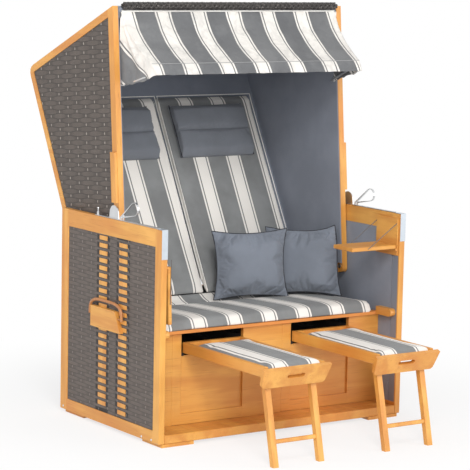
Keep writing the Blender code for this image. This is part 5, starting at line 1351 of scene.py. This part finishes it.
# %% [markdown]
# ## Roof and back
# Seen from behind, the roof and the back are woven like the sides, and lined with slate cloth
# inside. The solids stay as the lined boards, and a woven sheet lies on each outer face.

# %% Woven roof and back
def broad_face(node, toward):
    """The direction of a solid's largest face that looks a given way."""
    looking = [f for f in nodes[node].data.polygons if f.normal.dot(Vector(toward)) > 0.6]
    return max(looking, key=lambda f: f.area).normal.normalized()


LEFTWARD = Vector((-1, 0, 0))
ROOF_TOWARD, BACK_TOWARD = (0, 0.3, 1), (0, 1, -0.4)
roof_out, back_out = broad_face("hood_roof", ROOF_TOWARD), broad_face("hood_back", BACK_TOWARD)
for word, outward in (("roof", roof_out), ("back", back_out)):
    woven_sheet(f"woven_{word}", f"hood_{word}", "hood", LEFTWARD, outward.cross(LEFTWARD),
                HOOD_BAND, HOOD_WEAVE, 0.0004, relief=0.0012, step=0.0035, trim=0.002,
                replace=False)

# %% [markdown]
# Where the roof meets the back, the bands run on round a soft corner. A curved strip joins the
# two sheets, and its stored run goes on from the roof's.

# %% Woven corner
def outer_edge(node, outward, way):
    """The point of a solid's outer face that lies furthest one way."""
    return max((v.co for v in nodes[node].data.vertices),
               key=lambda c: c.dot(outward) * 50 + c.dot(Vector(way)))


roof_edge = outer_edge("hood_roof", roof_out, BACK_TOWARD)
back_edge = outer_edge("hood_back", back_out, (0, 0.5, 1))
roof_way, back_way = roof_out.cross(LEFTWARD), back_out.cross(LEFTWARD)
gap = back_edge - roof_edge
reach = (gap.y * back_way.z - gap.z * back_way.y) / (roof_way.y * back_way.z
                                                    - roof_way.z * back_way.y)
corner_point = roof_edge + roof_way * reach
STRIP_ROWS, STRIP_COLUMNS = 12, 120
half_width = abs(roof_edge.x)
inward = -(roof_out + back_out).normalized()


def corner_strip(name, inset, thickness, finish):
    """A curved strip between the roof's and the back's edges, set in by some depth."""
    points, runs = [], []
    for r in range(STRIP_ROWS + 1):
        t = r / STRIP_ROWS
        at = roof_edge * (1 - t) ** 2 + corner_point * 2 * t * (1 - t) + back_edge * t ** 2
        at += inward * inset
        for c in range(STRIP_COLUMNS + 1):
            x = -half_width + 2 * half_width * c / STRIP_COLUMNS
            points.append((x, at.y, at.z))
            runs.append((-x, at.dot(roof_way) + 0.02 * t, 0))
    faces = [face[::-1] for face in grid_faces(STRIP_ROWS, STRIP_COLUMNS)]
    piece = new_piece(name, built(name, points, faces, runs))
    thickened(piece, thickness)
    finished(piece, finish, "hood")


corner_strip("woven_corner", 0.0, 0.004, HOOD_WEAVE)
corner_strip("corner_lining", 0.006, 0.003, SLATE_WALL)
print("corner:", [round(c, 3) for c in (*roof_edge, *corner_point, *back_edge)])

# %% [markdown]
# Pale piping runs up the inner edge of each back cushion, over its top and down the outer edge.
# Dark piping runs up both ends of each neck pillow: real black piping, which also stands for the
# painted shade in the gap beside the pillow.

# %% Piping of the back cushions and neck pillows
back_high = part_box("back_cushion_right")[1]


def back_front(z):
    """Depth of the back cushions' front face at one height."""
    return 0.180 + MIDDLE_Y + (z - 0.453) * tan(BACK_LEAN)


inner, outer = 0.0065, back_high.x - 0.004
heights = [0.52 + i * 0.03 for i in range(24)]
neck_middle = SLAB_OUT * (neck_faces[0] * 0.55 + neck_faces[1] * 0.45)
neck_ups = [neck_ends[0] + 0.003 + (neck_ends[1] - neck_ends[0] - 0.006) * i / 12
            for i in range(13)]
for side, word in SIDES:
    path = [(side * inner, back_front(z) - 0.0015, z) for z in heights]
    path += [(side * (inner + (outer - inner) * i / 12), back_front(1.243), 1.2495)
             for i in range(13)]
    path += [(side * outer, back_front(z) - 0.0015, z) for z in reversed(heights)]
    cord_of(f"back_piping_{word}", path, 0.0018, "hood", PIPING_PALE)
    # Dark piping at the pillow's ends: real piping and, in part, painted shade of the gap beside
    # it.
    for end, place in (("inner", neck_low.x - 0.001 + NECK_SHORTER[word]),
                       ("outer", neck_high.x + 0.001)):
        line = [Vector((side * place, 0, 0)) + neck_middle + SLAB_UP * up for up in neck_ups]
        cord_of(f"neck_piping_{end}_{word}", line, 0.0022, "hood", PIPING_DARK)

# %% [markdown]
# ## Frame bolts
# Each side frame's bottom rail shows three round bolt heads near its lower edge.

# %% Frame bolts
BOLT_PLACES = ((-0.257, 0.023), (-0.186, 0.022), (0.417, 0.026))
BOLT_X, BOLT_RADIUS = 0.5795, 0.0048
for side, word in SIDES:
    shape = bmesh.new()
    for y, z in BOLT_PLACES:
        bmesh.ops.create_uvsphere(
            shape, u_segments=20, v_segments=10, radius=BOLT_RADIUS,
            matrix=Matrix.Translation((side * BOLT_X, y, z)) @ Matrix.Diagonal((0.5, 1, 1, 1)))
    mesh = bpy.data.meshes.new(f"frame_bolt_heads_{word}")
    shape.to_mesh(mesh)
    shape.free()
    finished(new_piece(mesh.name, mesh), STEEL, "root")
print("frame bolts:", 2 * len(BOLT_PLACES))

# %% [markdown]
# ## Floor
# A plain pale floor carries the soft shadow. It looks white to the camera and to the reflections
# in the steel, and stays an ordinary pale floor for the light on the chair.

# %% Floor and backdrop
def seen_directly(tree):
    """1 for the camera's own rays and for what gloss and glass show."""
    paths = tree.nodes.new("ShaderNodeLightPath")
    camera_ray, glossy, through = [Wire(tree, paths.outputs[word]) for word in (
        "Is Camera Ray", "Is Glossy Ray", "Is Transmission Ray")]
    return camera_ray.math("MAXIMUM", glossy).math("MAXIMUM", through)


def pale_floor(size, level):
    """The floor: grey-white near the chair, and plain white further off."""
    mesh = built("floor", [(-size, -size, 0), (size, -size, 0), (size, size, 0), (-size, size, 0)],
                 [(0, 1, 2, 3)])
    floor = new_piece("floor", mesh)
    finish = Finish("floor")
    finish.done((level, level, level), 0.9, None)
    x, y, _ = finish.split()
    far = (x * x + y * y).math("SQRT").smooth(0.75, 1.9)
    white = finish.node("ShaderNodeEmission", {}, {"Color": (1, 1, 1, 1), "Strength": 1.0})
    shown = finish.node("ShaderNodeMixShader", {}, {
        0: (far * 0.28 + 0.72) * seen_directly(finish.tree), 1: finish.shader.outputs[0], 2: white})
    output = finish.tree.nodes["Material Output"]
    plug(finish.tree, output.inputs["Surface"], shown)
    mesh.materials.append(finish.material)


pale_floor(30, 0.93)
world = bpy.data.worlds.new("studio")
scene.world = world
world.use_nodes = True
tree = world.node_tree
background = tree.nodes["Background"]
background.inputs["Color"].default_value = (1.0, 1.0, 1.0, 1)
AMBIENT = 0.55
plug(tree, background.inputs["Strength"], seen_directly(tree) * (1.0 - AMBIENT) + AMBIENT)
print("studio ready")

# %% [markdown]
# The scene is brought up to date at the end.

# %% The end
bpy.context.view_layer.update()
